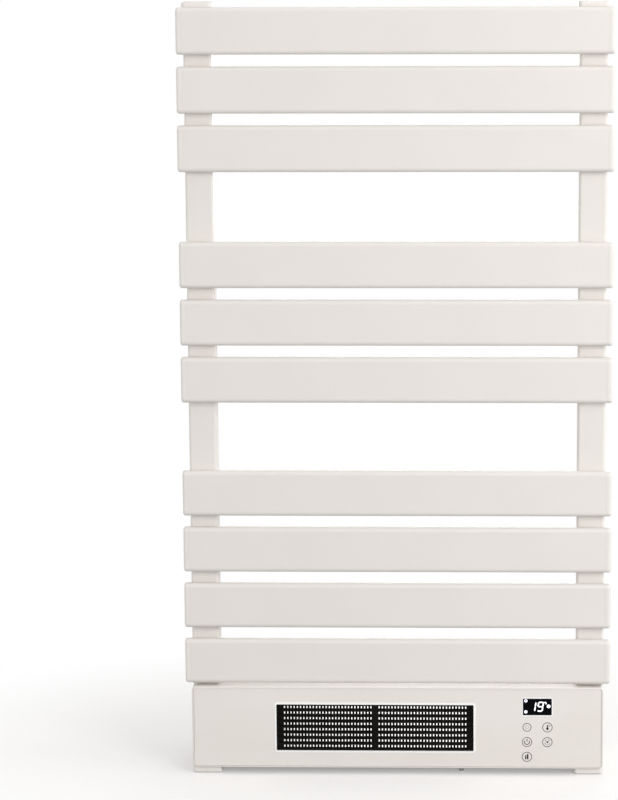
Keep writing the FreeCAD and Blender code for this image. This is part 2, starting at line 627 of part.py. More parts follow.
def housing():
    outside = rounded("y", -HOUSING_SIDE, HOUSING_SIDE, HOUSING_BOTTOM, HOUSING_TOP, HOUSING_FRONT,
                      HOUSING_REAR, HOUSING_RADIUS)
    outside = outside.makeFillet(RIM_RADIUS, edges_at(outside, "y", HOUSING_FRONT))
    inside = rounded("y", -INSIDE_SIDE, INSIDE_SIDE, INSIDE_BOTTOM, INSIDE_TOP, HOUSING_FRONT, HOUSING_REAR,
                     INSIDE_RADIUS)
    shell = outside.cut(inside)
    added = [tab(x, level, FRONT_TAB_FRONT) for x in FRONT_TAB_XS for level in TAB_LEVELS]
    added += [tab(x, level, REAR_TAB_FRONT) for x in REAR_TAB_XS for level in TAB_LEVELS]
    tools = [rod("z", TIP_X, TIP_Y, HOUSING_BOTTOM, INSIDE_BOTTOM, TIP_RADIUS + MOVING)]
    for side in SIDES:
        for x, y in foot_screw_places(side):
            tools.append(rod("z", x, y, HOUSING_BOTTOM, INSIDE_BOTTOM, FRAME_SCREW_RADIUS + HOLE_PLAY))
        x, y = foot_screw_places(side)[1]
        added.append(rod("z", x, y, INSIDE_BOTTOM, INSIDE_BOTTOM + BOSS_HEIGHT, BOSS_RADIUS))
        tools.append(rod("z", x, y, INSIDE_BOTTOM, INSIDE_BOTTOM + BOSS_HEIGHT,
                         FRAME_SCREW_RADIUS + THREAD_PLAY))
        tools.append(around("z", side * POST_X, POST_Y, STEM_HALF_WIDTH + THREAD_PLAY,
                            STEM_HALF_DEPTH + THREAD_PLAY, INSIDE_TOP - INSIDE_RADIUS, HOUSING_TOP,
                            POST_RADIUS - POST_WALL))
    for x, z in front_tab_places():
        tools.append(rod("y", x, z, FRONT_TAB_FRONT, FRONT_TAB_REAR, SMALL_SCREW_RADIUS + HOLE_PLAY))
    for x, z in rear_tab_places():
        tools.append(rod("y", x, z, REAR_TAB_FRONT, COVER_FRONT, SMALL_SCREW_RADIUS + THREAD_PLAY))
    return shell.fuse(added).cut(tools)


def display_board_holes():
    places = []
    for x in (DISPLAY_X - DISPLAY_BOARD_HALF_WIDTH, DISPLAY_X + DISPLAY_BOARD_HALF_WIDTH):
        inward = math.copysign(DISPLAY_BOSS_RADIUS, DISPLAY_X - x)
        places.append((x + inward, DISPLAY_BOARD_BOTTOM + DISPLAY_BOSS_RADIUS))
        places.append((x + inward, DISPLAY_BOARD_TOP - DISPLAY_BOSS_RADIUS))
    return places


def front_panel():
    plate = rounded("y", -INSIDE_SIDE + PANEL_GAP, INSIDE_SIDE - PANEL_GAP, INSIDE_BOTTOM + PANEL_GAP,
                    INSIDE_TOP - PANEL_GAP, PANEL_FRONT, PANEL_REAR, INSIDE_RADIUS - PANEL_GAP)
    plate = plate.makeFillet(PANEL_EDGE_RADIUS, edges_at(plate, "y", PANEL_FRONT))
    tools = [around("y", OUTLET_X, OUTLET_Z, OUTLET_HALF_WIDTH + BEZEL_SLEEVE + SLIDE,
                    OUTLET_HALF_HEIGHT + BEZEL_SLEEVE + SLIDE, PANEL_FRONT, PANEL_REAR, OUTLET_RADIUS),
             around("y", DISPLAY_X, DISPLAY_Z, DISPLAY_WIDTH / 2 + SLIDE, DISPLAY_HEIGHT / 2 + SLIDE,
                    PANEL_FRONT, PANEL_REAR, DISPLAY_RADIUS)]
    bosses = []
    for x, z in front_tab_places():
        bosses.append(rod("y", x, z, PANEL_REAR, FRONT_TAB_FRONT, PANEL_BOSS_RADIUS))
        tools.append(rod("y", x, z, PANEL_REAR, FRONT_TAB_FRONT, SMALL_SCREW_RADIUS + THREAD_PLAY))
    for x, z in display_board_holes():
        bosses.append(rod("y", x, z, PANEL_REAR, DISPLAY_BOARD_FRONT, DISPLAY_BOSS_RADIUS))
        tools.append(rod("y", x, z, PANEL_REAR, DISPLAY_BOARD_FRONT, SMALL_SCREW_RADIUS + THREAD_PLAY))
    return plate.fuse(bosses).cut(tools)


def small_screw_length(seat, floor):
    """As long as the small screw is, or as far as the hole lets it go."""
    return min(SMALL_SCREW_LENGTH, abs(floor - seat) - SLIDE)


def housing_screws():
    solids = []
    for x, z in front_tab_places():
        length = small_screw_length(FRONT_TAB_REAR, PANEL_REAR)
        solids.append(screw(Vector(x, FRONT_TAB_REAR, z), AXES["y"], SMALL_SCREW_RADIUS, length))
    for x, z in rear_tab_places():
        solids.append(screw(Vector(x, COVER_REAR, z), AXES["y"], SMALL_SCREW_RADIUS, SMALL_SCREW_LENGTH))
    return solids


def rear_cover():
    plate = rounded("y", -INSIDE_SIDE + SLIDE, INSIDE_SIDE - SLIDE, INSIDE_BOTTOM + SLIDE, INSIDE_TOP - SLIDE,
                    COVER_FRONT, COVER_REAR, INSIDE_RADIUS - SLIDE)
    tools = [rod("y", GLAND_X, GLAND_Z, COVER_FRONT, COVER_REAR, GLAND_BARREL + SLIDE),
             block("y", ROCKER_X - ROCKER_BODY_HALF_WIDTH - SLIDE, ROCKER_X + ROCKER_BODY_HALF_WIDTH + SLIDE,
                   ROCKER_Z - ROCKER_BODY_HALF_HEIGHT - SLIDE, ROCKER_Z + ROCKER_BODY_HALF_HEIGHT + SLIDE,
                   COVER_FRONT, COVER_REAR)]
    for x, z in rear_tab_places():
        tools.append(rod("y", x, z, COVER_FRONT, COVER_REAR, SMALL_SCREW_RADIUS + HOLE_PLAY))
    count = int(OUTLET_WIDTH // INTAKE_SLOT_PITCH) - 1
    for slot in range(count):
        x = OUTLET_X + (slot - (count - 1) / 2) * INTAKE_SLOT_PITCH
        tools.append(around("y", x, FAN_Z, INTAKE_SLOT_WIDTH / 2, INTAKE_SLOT_HEIGHT / 2, COVER_FRONT,
                            COVER_REAR, INTAKE_SLOT_WIDTH / 2 - NEAR))
    return plate.cut(tools)


def outlet_bezel():
    front = PANEL_FRONT - BEZEL_PROUD
    rim = around("y", OUTLET_X, OUTLET_Z, OUTLET_HALF_WIDTH + BEZEL_RIM, OUTLET_HALF_HEIGHT + BEZEL_RIM, front,
                 PANEL_FRONT, OUTLET_RADIUS + BEZEL_RIM)
    rim = rim.makeFillet(BEZEL_EDGE_RADIUS, edges_at(rim, "y", front))
    sleeve = around("y", OUTLET_X, OUTLET_Z, OUTLET_HALF_WIDTH + BEZEL_SLEEVE,
                    OUTLET_HALF_HEIGHT + BEZEL_SLEEVE, PANEL_FRONT, PANEL_REAR, OUTLET_RADIUS)
    opening = around("y", OUTLET_X, OUTLET_Z, OUTLET_HALF_WIDTH, OUTLET_HALF_HEIGHT, front, PANEL_REAR,
                     OUTLET_RADIUS)
    return rim.fuse(sleeve).cut(opening)


def half_outlets():
    """Left and right ends of the two halves of the outlet, either side of its divider."""
    return ((OUTLET_X - OUTLET_HALF_WIDTH + GRILLE_SIDE, OUTLET_X - GRILLE_DIVIDER / 2),
            (OUTLET_X + GRILLE_DIVIDER / 2, OUTLET_X + OUTLET_HALF_WIDTH - GRILLE_SIDE))


def row_bottom(row):
    """Top of the slat below a row."""
    return OUTLET_Z - OUTLET_HALF_HEIGHT + SLAT_THICKNESS + row * ROW_PITCH


def outlet_grille():
    body = around("y", OUTLET_X, OUTLET_Z, OUTLET_HALF_WIDTH - SLIDE, OUTLET_HALF_HEIGHT - SLIDE, GRILLE_FRONT,
                  GRILLE_REAR, OUTLET_RADIUS)
    flange = around("y", OUTLET_X, OUTLET_Z, OUTLET_HALF_WIDTH + GRILLE_FLANGE,
                    OUTLET_HALF_HEIGHT + GRILLE_FLANGE, PANEL_REAR, PANEL_REAR + GRILLE_FLANGE_THICKNESS,
                    OUTLET_RADIUS)
    tools = []
    for row in range(GRILLE_ROWS):
        bottom = row_bottom(row)
        top = bottom + ROW_PITCH - SLAT_THICKNESS
        for left, right in half_outlets():
            tools.append(block("y", left, right, bottom, top, GRILLE_FRONT, GRILLE_REAR))
        outer = OUTLET_HALF_WIDTH - SLIDE - GRILLE_POCKET_WALL
        inner = OUTLET_HALF_WIDTH - GRILLE_SIDE + GRILLE_POCKET_WALL
        for side in SIDES:
            ends = sorted((OUTLET_X + side * outer, OUTLET_X + side * inner))
            tools.append(block("y", ends[0], ends[1], bottom, top, GRILLE_FRONT, GRILLE_FRONT + GRILLE_POCKET))
    return body.fuse(flange).cut(tools)


def heater_frame():
    frame = block("y", OUTLET_X - HEATER_HALF_WIDTH, OUTLET_X + HEATER_HALF_WIDTH, HEATER_BOTTOM, HEATER_TOP,
                  HEATER_FRONT, HEATER_REAR)
    windows = []
    for left, right in half_outlets():
        windows.append(block("y", left, right, OUTLET_Z - OUTLET_HALF_HEIGHT, OUTLET_Z + OUTLET_HALF_HEIGHT,
                             HEATER_FRONT, HEATER_REAR))
    return frame.cut(windows)


def heater_strips():
    solids = []
    for left, right in half_outlets():
        for row in range(GRILLE_ROWS + 1):
            top = row_bottom(row)
            solids.append(block("y", left, right, top - SLAT_THICKNESS, top, HEATER_FRONT + HEATER_INSET,
                                HEATER_REAR - HEATER_INSET))
    return solids


def heater_fin(left, right, bottom, top):
    """One folded fin between two strips: upright walls joined at the top and at the bottom in turn."""
    first = left + SLIDE
    gaps = int((right - left - 2 * SLIDE) // FIN_PITCH)
    step = (right - left - 2 * SLIDE - FIN_WALL) / gaps
    upper = [(first, top)]
    lower = [(first, bottom)]
    for gap in range(gaps):
        near = first + gap * step + FIN_WALL
        far = first + (gap + 1) * step
        if gap % 2:
            fold = bottom + FIN_FOLD
            upper += [(near, top), (near, fold), (far, fold), (far, top)]
        else:
            fold = top - FIN_FOLD
            lower += [(near, bottom), (near, fold), (far, fold), (far, bottom)]
    last = right - SLIDE
    upper.append((last, top))
    lower.append((last, bottom))
    return prism("y", upper + lower[::-1], HEATER_FRONT + HEATER_INSET, HEATER_REAR - HEATER_INSET)


def heater_fins():
    solids = []
    for left, right in half_outlets():
        for row in range(GRILLE_ROWS):
            bottom = row_bottom(row)
            solids.append(heater_fin(left, right, bottom, bottom + ROW_PITCH - SLAT_THICKNESS))
    return solids


def thermal_cutout():
    """Over the middle of the heater's right half."""
    middle = OUTLET_X + OUTLET_HALF_WIDTH / 2
    y = (HEATER_FRONT + HEATER_REAR) / 2
    top = HEATER_TOP + CUTOUT_HEIGHT
    body = rod("z", middle, y, HEATER_TOP, top, CUTOUT_RADIUS)
    tags = []
    for side in SIDES:
        x = middle + side * CUTOUT_RADIUS / 2
        tags.append(block("z", x - CUTOUT_TAG_THICKNESS / 2, x + CUTOUT_TAG_THICKNESS / 2,
                          y - CUTOUT_RADIUS / 2, y + CUTOUT_RADIUS / 2, top, top + CUTOUT_TAG_HEIGHT))
    return body.fuse(tags)


def blower_plate(side):
    ends = sorted((OUTLET_X + side * PLATE_INNER, OUTLET_X + side * PLATE_OUTER))
    plate = block("x", HEATER_REAR, COVER_FRONT - BLOWER_PLATE_GAP, INSIDE_BOTTOM,
                  INSIDE_TOP - BLOWER_PLATE_GAP, ends[0], ends[1])
    return plate.cut(rod("x", FAN_Y, FAN_Z, ends[0], ends[1], BUSH_RADIUS + RUNNING))


def on_circle(radius, degrees):
    """(y, z) round the fan's axis, from the rear and turning up."""
    angle = math.radians(degrees)
    return FAN_Y + radius * math.cos(angle), FAN_Z + radius * math.sin(angle)


def blower_scroll():
    """Guide sheet that wraps the rear and the underside of the fan and runs on to the heater."""
    left = OUTLET_X - PLATE_INNER
    inner = FAN_RADIUS + FAN_GAP
    outer = inner + BLOWER_SHEET
    end = math.radians(SCROLL_END)
    run = (on_circle(inner, SCROLL_END)[0] - HEATER_REAR) / -math.sin(end)
    middle = (SCROLL_START + SCROLL_END) / 2

    def place(radius, degrees, forward=0.0):
        y, z = on_circle(radius, degrees)
        return Vector(left, y + forward * math.sin(end), z - forward * math.cos(end))

    corners = [place(inner, SCROLL_END), place(inner, SCROLL_END, run), place(outer, SCROLL_END, run),
               place(outer, SCROLL_END)]
    edges = [Part.Arc(place(inner, SCROLL_START), place(inner, middle), corners[0]).toShape()]
    for first, second in zip(corners, corners[1:]):
        edges.append(Part.makeLine(first, second))
    edges.append(Part.Arc(corners[3], place(outer, middle), place(outer, SCROLL_START)).toShape())
    edges.append(Part.makeLine(place(outer, SCROLL_START), place(inner, SCROLL_START)))
    return Part.Face(Part.Wire(edges)).extrude(AXES["x"] * 2 * PLATE_INNER)


def blower_tongue():
    """Guide sheet from the top of the heater to the upper front of the fan."""
    y, z = on_circle(FAN_RADIUS + FAN_GAP, TONGUE_ANGLE)
    start = HEATER_TOP - HEATER_EDGE
    outline = [(HEATER_REAR, start), (y, z), (y, z + TONGUE_LIP), (y - BLOWER_SHEET, z + TONGUE_LIP),
               (y - BLOWER_SHEET, z + BLOWER_SHEET), (HEATER_REAR, start + BLOWER_SHEET)]
    return prism("x", outline, OUTLET_X - PLATE_INNER, OUTLET_X + PLATE_INNER)


def fan_impeller():
    solids = []
    length = FAN_RIGHT - FAN_LEFT - FAN_DISC_THICKNESS
    for disc in range(FAN_DISCS):
        x = FAN_LEFT + length * disc / (FAN_DISCS - 1)
        hole = FAN_INNER_RADIUS
        if disc in (0, FAN_DISCS - 1):
            hole = FAN_SHAFT_RADIUS + RUNNING
        solids.append(ring("x", FAN_Y, FAN_Z, x, x + FAN_DISC_THICKNESS, FAN_RADIUS, hole))
    half = FAN_BLADE_THICKNESS / 2
    for blade in range(FAN_BLADES):
        degrees = 360 * blade / FAN_BLADES
        foot_y, foot_z = on_circle(FAN_INNER_RADIUS, degrees)
        tip_y, tip_z = on_circle(FAN_RADIUS - FAN_BLADE_THICKNESS, degrees + FAN_BLADE_SWEEP)
        span = math.hypot(tip_y - foot_y, tip_z - foot_z)
        across_y = (foot_z - tip_z) / span * half
        across_z = (tip_y - foot_y) / span * half
        outline = [(foot_y + across_y, foot_z + across_z), (tip_y + across_y, tip_z + across_z),
                   (tip_y - across_y, tip_z - across_z), (foot_y - across_y, foot_z - across_z)]
        solids.append(prism("x", outline, FAN_LEFT, FAN_RIGHT))
    return solids[0].fuse(solids[1:])


def fan_shaft():
    return rod("x", FAN_Y, FAN_Z, MOTOR_LEFT - FAN_END_GAP, PLATE_RIGHT + FAN_END_GAP, FAN_SHAFT_RADIUS)


def fan_bushes():
    bore = FAN_SHAFT_RADIUS + RUNNING
    right = ring("x", FAN_Y, FAN_Z, PLATE_RIGHT - BLOWER_PLATE, PLATE_RIGHT + BUSH_LENGTH - BLOWER_PLATE,
                 BUSH_RADIUS, bore)
    left = ring("x", FAN_Y, FAN_Z, MOTOR_LEFT, MOTOR_LEFT + BUSH_LENGTH, BUSH_RADIUS, bore)
    return [left, right]


def motor_stator():
    core = block("x", FAN_Y - STATOR_HALF_WIDTH, FAN_Y + STATOR_HALF_WIDTH, FAN_Z - STATOR_DROP,
                 FAN_Z + STATOR_RISE, STATOR_LEFT, STATOR_RIGHT)
    bore = rod("x", FAN_Y, FAN_Z, STATOR_LEFT, STATOR_RIGHT, ROTOR_RADIUS + ROTOR_GAP)
    leg_top = FAN_Z - STATOR_DROP + STATOR_LEG
    window = block("x", FAN_Y - STATOR_WINDOW_HALF_WIDTH, FAN_Y + STATOR_WINDOW_HALF_WIDTH, leg_top,
                   leg_top + STATOR_WINDOW_HEIGHT, STATOR_LEFT, STATOR_RIGHT)
    return core.cut([bore, window])


def motor_coil():
    bottom = FAN_Z - STATOR_DROP
    top = bottom + STATOR_LEG
    half = STATOR_WINDOW_HALF_WIDTH - SLIDE
    winding = rounded("y", STATOR_LEFT - COIL_BUILD, STATOR_RIGHT + COIL_BUILD, bottom - COIL_BUILD,
                      top + COIL_BUILD, FAN_Y - half, FAN_Y + half, COIL_BUILD / 2)
    leg = block("y", STATOR_LEFT - SLIDE, STATOR_RIGHT + SLIDE, bottom - SLIDE, top + SLIDE, FAN_Y - half,
                FAN_Y + half)
    return winding.cut(leg)


def motor_rotor():
    return ring("x", FAN_Y, FAN_Z, STATOR_LEFT - ROTOR_OVERHANG, STATOR_RIGHT + ROTOR_OVERHANG, ROTOR_RADIUS,
                FAN_SHAFT_RADIUS + RUNNING)


def motor_bracket():
    half = STATOR_HALF_WIDTH + BRACKET_SHEET
    plate = block("x", FAN_Y - half, FAN_Y + half, FAN_Z - BRACKET_HALF_HEIGHT, FAN_Z + BRACKET_HALF_HEIGHT,
                  MOTOR_LEFT, MOTOR_LEFT + BRACKET_SHEET)
    arms = []
    for side in SIDES:
        ends = sorted((FAN_Y + side * STATOR_HALF_WIDTH, FAN_Y + side * half))
        arms.append(block("x", ends[0], ends[1], FAN_Z - BRACKET_HALF_HEIGHT, FAN_Z + BRACKET_HALF_HEIGHT,
                          MOTOR_LEFT, PLATE_LEFT))
    hole = rod("x", FAN_Y, FAN_Z, MOTOR_LEFT, MOTOR_LEFT + BRACKET_SHEET, BUSH_RADIUS + RUNNING)
    return plate.fuse(arms).cut(hole).removeSplitter()


def power_board_holes():
    places = []
    for x in (BOARD_LEFT + BOARD_HOLE_FROM_EDGE, BOARD_RIGHT - BOARD_HOLE_FROM_EDGE):
        for y in (BOARD_HOLE_FROM_EDGE - BOARD_HALF_DEPTH, BOARD_HALF_DEPTH - BOARD_HOLE_FROM_EDGE):
            places.append((x, y))
    return places


def power_board():
    plate = block("z", BOARD_LEFT, BOARD_RIGHT, -BOARD_HALF_DEPTH, BOARD_HALF_DEPTH, BOARD_BOTTOM, BOARD_TOP)
    holes = [rod("z", x, y, BOARD_BOTTOM, BOARD_TOP, SMALL_SCREW_RADIUS + HOLE_PLAY)
             for x, y in power_board_holes()]
    return plate.cut(holes)


def power_board_parts():
    """Two relays and a transformer along the rear of the board, a finned cooler and a capacitor in front."""
    solids = []
    x = BOARD_LEFT + 2 * BOARD_HOLE_FROM_EDGE
    for _ in range(2):
        solids.append(block("z", x, x + RELAY_WIDTH, 0, RELAY_DEPTH, BOARD_TOP, BOARD_TOP + RELAY_HEIGHT))
        x += RELAY_WIDTH + BOARD_PART_GAP
    solids.append(block("z", x, x + TRANSFORMER_WIDTH, -TRANSFORMER_DEPTH / 2, TRANSFORMER_DEPTH / 2, BOARD_TOP,
                        BOARD_TOP + TRANSFORMER_HEIGHT))
    left = BOARD_LEFT + 2 * BOARD_HOLE_FROM_EDGE
    right = left + COOLER_WIDTH
    front = -BOARD_PART_GAP - COOLER_DEPTH
    cooler = block("x", front, front + COOLER_DEPTH, BOARD_TOP, BOARD_TOP + COOLER_BASE, left, right)
    fins = []
    for fin in range(COOLER_FINS):
        y = front + fin * (COOLER_DEPTH - BOARD_THICKNESS) / (COOLER_FINS - 1)
        fins.append(block("x", y, y + BOARD_THICKNESS, BOARD_TOP, BOARD_TOP + COOLER_HEIGHT, left, right))
    solids.append(cooler.fuse(fins))
    solids.append(rod("z", right + BOARD_PART_GAP / 2 + CAPACITOR_RADIUS, -BOARD_PART_GAP - CAPACITOR_RADIUS,
                      BOARD_TOP, BOARD_TOP + CAPACITOR_HEIGHT, CAPACITOR_RADIUS))
    return solids


def board_standoffs():
    return [ring("z", x, y, INSIDE_BOTTOM, BOARD_BOTTOM, STANDOFF_RADIUS, SMALL_SCREW_RADIUS + THREAD_PLAY)
            for x, y in power_board_holes()]


def board_screws():
    solids = []
    for x, y in power_board_holes():
        solids.append(screw(Vector(x, y, BOARD_TOP), AXES["z"], SMALL_SCREW_RADIUS, SMALL_SCREW_LENGTH))
    seat = DISPLAY_BOARD_FRONT + BOARD_THICKNESS
    length = small_screw_length(seat, PANEL_REAR)
    for x, z in display_board_holes():
        solids.append(screw(Vector(x, seat, z), AXES["y"], SMALL_SCREW_RADIUS, length))
    return solids


def display_board():
    plate = block("y", DISPLAY_X - DISPLAY_BOARD_HALF_WIDTH, DISPLAY_X + DISPLAY_BOARD_HALF_WIDTH,
                  DISPLAY_BOARD_BOTTOM, DISPLAY_BOARD_TOP, DISPLAY_BOARD_FRONT,
                  DISPLAY_BOARD_FRONT + BOARD_THICKNESS)
    holes = [rod("y", x, z, DISPLAY_BOARD_FRONT, DISPLAY_BOARD_FRONT + BOARD_THICKNESS,
                 SMALL_SCREW_RADIUS + HOLE_PLAY) for x, z in display_board_holes()]
    return plate.cut(holes)


def display_module():
    return block("y", DISPLAY_X - DISPLAY_WIDTH / 2, DISPLAY_X + DISPLAY_WIDTH / 2,
                 DISPLAY_Z - DISPLAY_HEIGHT / 2, DISPLAY_Z + DISPLAY_HEIGHT / 2, PANEL_REAR,
                 DISPLAY_BOARD_FRONT)


def display_window():
    return around("y", DISPLAY_X, DISPLAY_Z, DISPLAY_WIDTH / 2, DISPLAY_HEIGHT / 2, PANEL_FRONT, PANEL_REAR,
                  DISPLAY_RADIUS)


def key_places():
    """Two columns of touch keys; the lowest place on the right is empty."""
    places = []
    for row in range(3):
        for side in SIDES:
            if row > 0 or side < 0:
                places.append((DISPLAY_X + side * KEY_SPACING / 2, LOWEST_KEY + row * KEY_PITCH))
    return places


def touch_pads():
    return [rod("y", x, z, PANEL_REAR, DISPLAY_BOARD_FRONT, KEY_PAD_RADIUS) for x, z in key_places()]


def terminal_block():
    body = block("z", TERMINAL_LEFT, TERMINAL_LEFT + TERMINAL_WIDTH, TERMINAL_FRONT,
                 TERMINAL_FRONT + TERMINAL_DEPTH, INSIDE_BOTTOM, INSIDE_BOTTOM + TERMINAL_HEIGHT)
    holes = []
    for pole in range(TERMINAL_POLES):
        x = TERMINAL_LEFT + TERMINAL_WIDTH * (pole + 0.5) / TERMINAL_POLES
        holes.append(rod("z", x, TERMINAL_FRONT + TERMINAL_DEPTH / 2, INSIDE_BOTTOM + TERMINAL_HEIGHT / 2,
                         INSIDE_BOTTOM + TERMINAL_HEIGHT, TERMINAL_HOLE))
    return body.cut(holes)


def cable_gland():
    head = hexagon("y", GLAND_X, GLAND_Z, COVER_REAR, COVER_REAR + GLAND_HEAD_LENGTH, GLAND_HEAD)
    barrel = rod("y", GLAND_X, GLAND_Z, COVER_REAR - GLAND_BARREL_LENGTH, COVER_REAR, GLAND_BARREL)
    bore = rod("y", GLAND_X, GLAND_Z, COVER_REAR - GLAND_BARREL_LENGTH, COVER_REAR + GLAND_HEAD_LENGTH,
               GLAND_BORE)
    return head.fuse(barrel).cut(bore)


def gland_nut():
    nut = hexagon("y", GLAND_X, GLAND_Z, COVER_FRONT - GLAND_NUT_LENGTH, COVER_FRONT, GLAND_HEAD)
    return nut.cut(rod("y", GLAND_X, GLAND_Z, COVER_FRONT - GLAND_NUT_LENGTH, COVER_FRONT,
                       GLAND_BARREL + THREAD_PLAY))


def rocker_body():
    flange = around("y", ROCKER_X, ROCKER_Z, ROCKER_BODY_HALF_WIDTH + ROCKER_FLANGE,
                    ROCKER_BODY_HALF_HEIGHT + ROCKER_FLANGE, COVER_REAR,
                    COVER_REAR + ROCKER_FLANGE_THICKNESS, ROCKER_FLANGE / 2)
    body = block("y", ROCKER_X - ROCKER_BODY_HALF_WIDTH, ROCKER_X + ROCKER_BODY_HALF_WIDTH,
                 ROCKER_Z - ROCKER_BODY_HALF_HEIGHT, ROCKER_Z + ROCKER_BODY_HALF_HEIGHT,
                 COVER_REAR - ROCKER_DEPTH, COVER_REAR)
    room = block("y", ROCKER_X - ROCKER_ROOM_HALF_WIDTH, ROCKER_X + ROCKER_ROOM_HALF_WIDTH,
                 ROCKER_Z - ROCKER_ROOM_HALF_HEIGHT, ROCKER_Z + ROCKER_ROOM_HALF_HEIGHT,
                 COVER_REAR - ROCKER_CAP_DROP - ROCKER_ROOM - ROCKER_WALL, COVER_REAR + ROCKER_FLANGE_THICKNESS)
    reach = ROCKER_ROOM_HALF_WIDTH + ROCKER_PIN_LENGTH
    pivot = rod("x", ROCKER_Y, ROCKER_Z, ROCKER_X - reach, ROCKER_X + reach, ROCKER_PIN_RADIUS + RUNNING)
    return flange.fuse(body).cut([room, pivot])


def rocker_cap():
    """Drawn level, then tilted to its rest stop about its pivot."""
    half = ROCKER_CAP_HALF_HEIGHT
    outline = [(ROCKER_Y - ROCKER_CAP_DROP, ROCKER_Z - half), (ROCKER_Y + ROCKER_CAP_RISE, ROCKER_Z - half),
               (ROCKER_Y + ROCKER_CAP_RISE - ROCKER_CAP_DIP, ROCKER_Z),
               (ROCKER_Y + ROCKER_CAP_RISE, ROCKER_Z + half), (ROCKER_Y - ROCKER_CAP_DROP, ROCKER_Z + half)]
    body = prism("x", outline, ROCKER_X - ROCKER_CAP_WIDTH / 2, ROCKER_X + ROCKER_CAP_WIDTH / 2)
    reach = ROCKER_ROOM_HALF_WIDTH + ROCKER_PIN_LENGTH - SLIDE
    cap = body.fuse(rod("x", ROCKER_Y, ROCKER_Z, ROCKER_X - reach, ROCKER_X + reach, ROCKER_PIN_RADIUS))
    cap.rotate(Vector(ROCKER_X, ROCKER_Y, ROCKER_Z), AXES["x"], ROCKER_TILT)
    return cap


def tip_plunger():
    tip = rod("z", TIP_X, TIP_Y, 0, TIP_COLLAR_BOTTOM, TIP_RADIUS)
    tip = tip.makeFillet(TIP_END_RADIUS, edges_at(tip, "z", 0))
    collar = rod("z", TIP_X, TIP_Y, TIP_COLLAR_BOTTOM, TIP_COLLAR_TOP, TIP_COLLAR_RADIUS)
    return tip.fuse([collar, rod("z", TIP_X, TIP_Y, TIP_COLLAR_TOP, TIP_STEM_TOP, TIP_STEM_RADIUS)])


def arc_between(start, way, end):
    """Arc that leaves the start along a way and arrives at the end."""
    chord = end - start
    normal = way.cross(chord)
    inward = normal.cross(way).normalize()
    radius = chord.dot(chord) / (2 * chord.dot(inward))
    centre = start + inward * radius
    middle = (start + end) * 0.5 - centre
    return Part.Arc(start, centre + middle.normalize() * radius, end).toShape()


def helix_edges(radius, rise, turns, base):
    """Two arcs for each quarter turn of a helix, each running smoothly into the next."""
    edges = []
    quarters = 4 * turns
    climb = rise / turns / (2 * math.pi)

    def place(angle):
        return Vector(radius * math.cos(angle), radius * math.sin(angle), climb * angle)

    def heading(angle):
        return Vector(-radius * math.sin(angle), radius * math.cos(angle), climb).normalize()

    for quarter in range(quarters):
        first = quarter * math.pi / 2
        second = first + math.pi / 2
        span = place(second) - place(first)
        total = heading(first) + heading(second)
        bend = 2 * (1 - heading(first).dot(heading(second)))
        reach = (math.sqrt(span.dot(total) ** 2 + bend * span.dot(span)) - span.dot(total)) / bend
        joint = (place(first) + place(second) + (heading(first) - heading(second)) * reach) * 0.5
        edges.append(arc_between(base + place(first), heading(first), base + joint))
        backward = arc_between(base + place(second), -heading(second), base + joint)
        edges.append(backward.reversed())
    return edges


def tip_spring():
    rise = TIP_SPRING_LENGTH - 2 * TIP_SPRING_WIRE
    base = Vector(TIP_X, TIP_Y, TIP_COLLAR_TOP + TIP_SPRING_WIRE)
    path = Part.Wire(Part.__sortEdges__(helix_edges(TIP_SPRING_RADIUS, rise, TIP_SPRING_TURNS, base)))
    way = Vector(0, TIP_SPRING_RADIUS, rise / TIP_SPRING_TURNS / (2 * math.pi)).normalize()
    start = base + Vector(TIP_SPRING_RADIUS, 0, 0)
    section = Part.Wire(Part.makeCircle(TIP_SPRING_WIRE, start, way))
    print("gap between spring turns", round(rise / TIP_SPRING_TURNS - 2 * TIP_SPRING_WIRE, 3))
    return path.makePipeShell([section], True, False)


def tip_guide():
    outside = block("z", TIP_X - TIP_GUIDE_HALF_WIDTH, TIP_X + TIP_GUIDE_HALF_WIDTH,
                    TIP_Y - TIP_GUIDE_HALF_DEPTH, TIP_Y + TIP_GUIDE_HALF_DEPTH, INSIDE_BOTTOM, TIP_GUIDE_TOP)
    half = TIP_GUIDE_HALF_WIDTH - TIP_GUIDE_SHEET
    room = block("z", TIP_X - half, TIP_X + half, TIP_Y - TIP_GUIDE_HALF_DEPTH, TIP_Y + TIP_GUIDE_HALF_DEPTH,
                 INSIDE_BOTTOM, TIP_ROOF)
    hole = rod("z", TIP_X, TIP_Y, TIP_ROOF, TIP_GUIDE_TOP, TIP_STEM_RADIUS + MOVING)
    return outside.cut([room, hole])


def microswitch():
    front = TIP_Y + TIP_GUIDE_HALF_DEPTH + SLIDE
    body = block("z", TIP_X - MICROSWITCH_HALF_WIDTH, TIP_X + MICROSWITCH_HALF_WIDTH, front,
                 front + MICROSWITCH_DEPTH, INSIDE_BOTTOM, LEVER_BOTTOM)
    lever = block("z", TIP_X - LEVER_HALF_WIDTH, TIP_X + LEVER_HALF_WIDTH, TIP_Y - TIP_STEM_RADIUS,
                  front + MICROSWITCH_DEPTH, LEVER_BOTTOM, LEVER_BOTTOM + LEVER_THICKNESS)
    return body.fuse(lever)


def each_bar(make):
    """One solid on each post for every crossbar."""
    return [make(side, level) for level in BAR_LEVELS for side in SIDES]


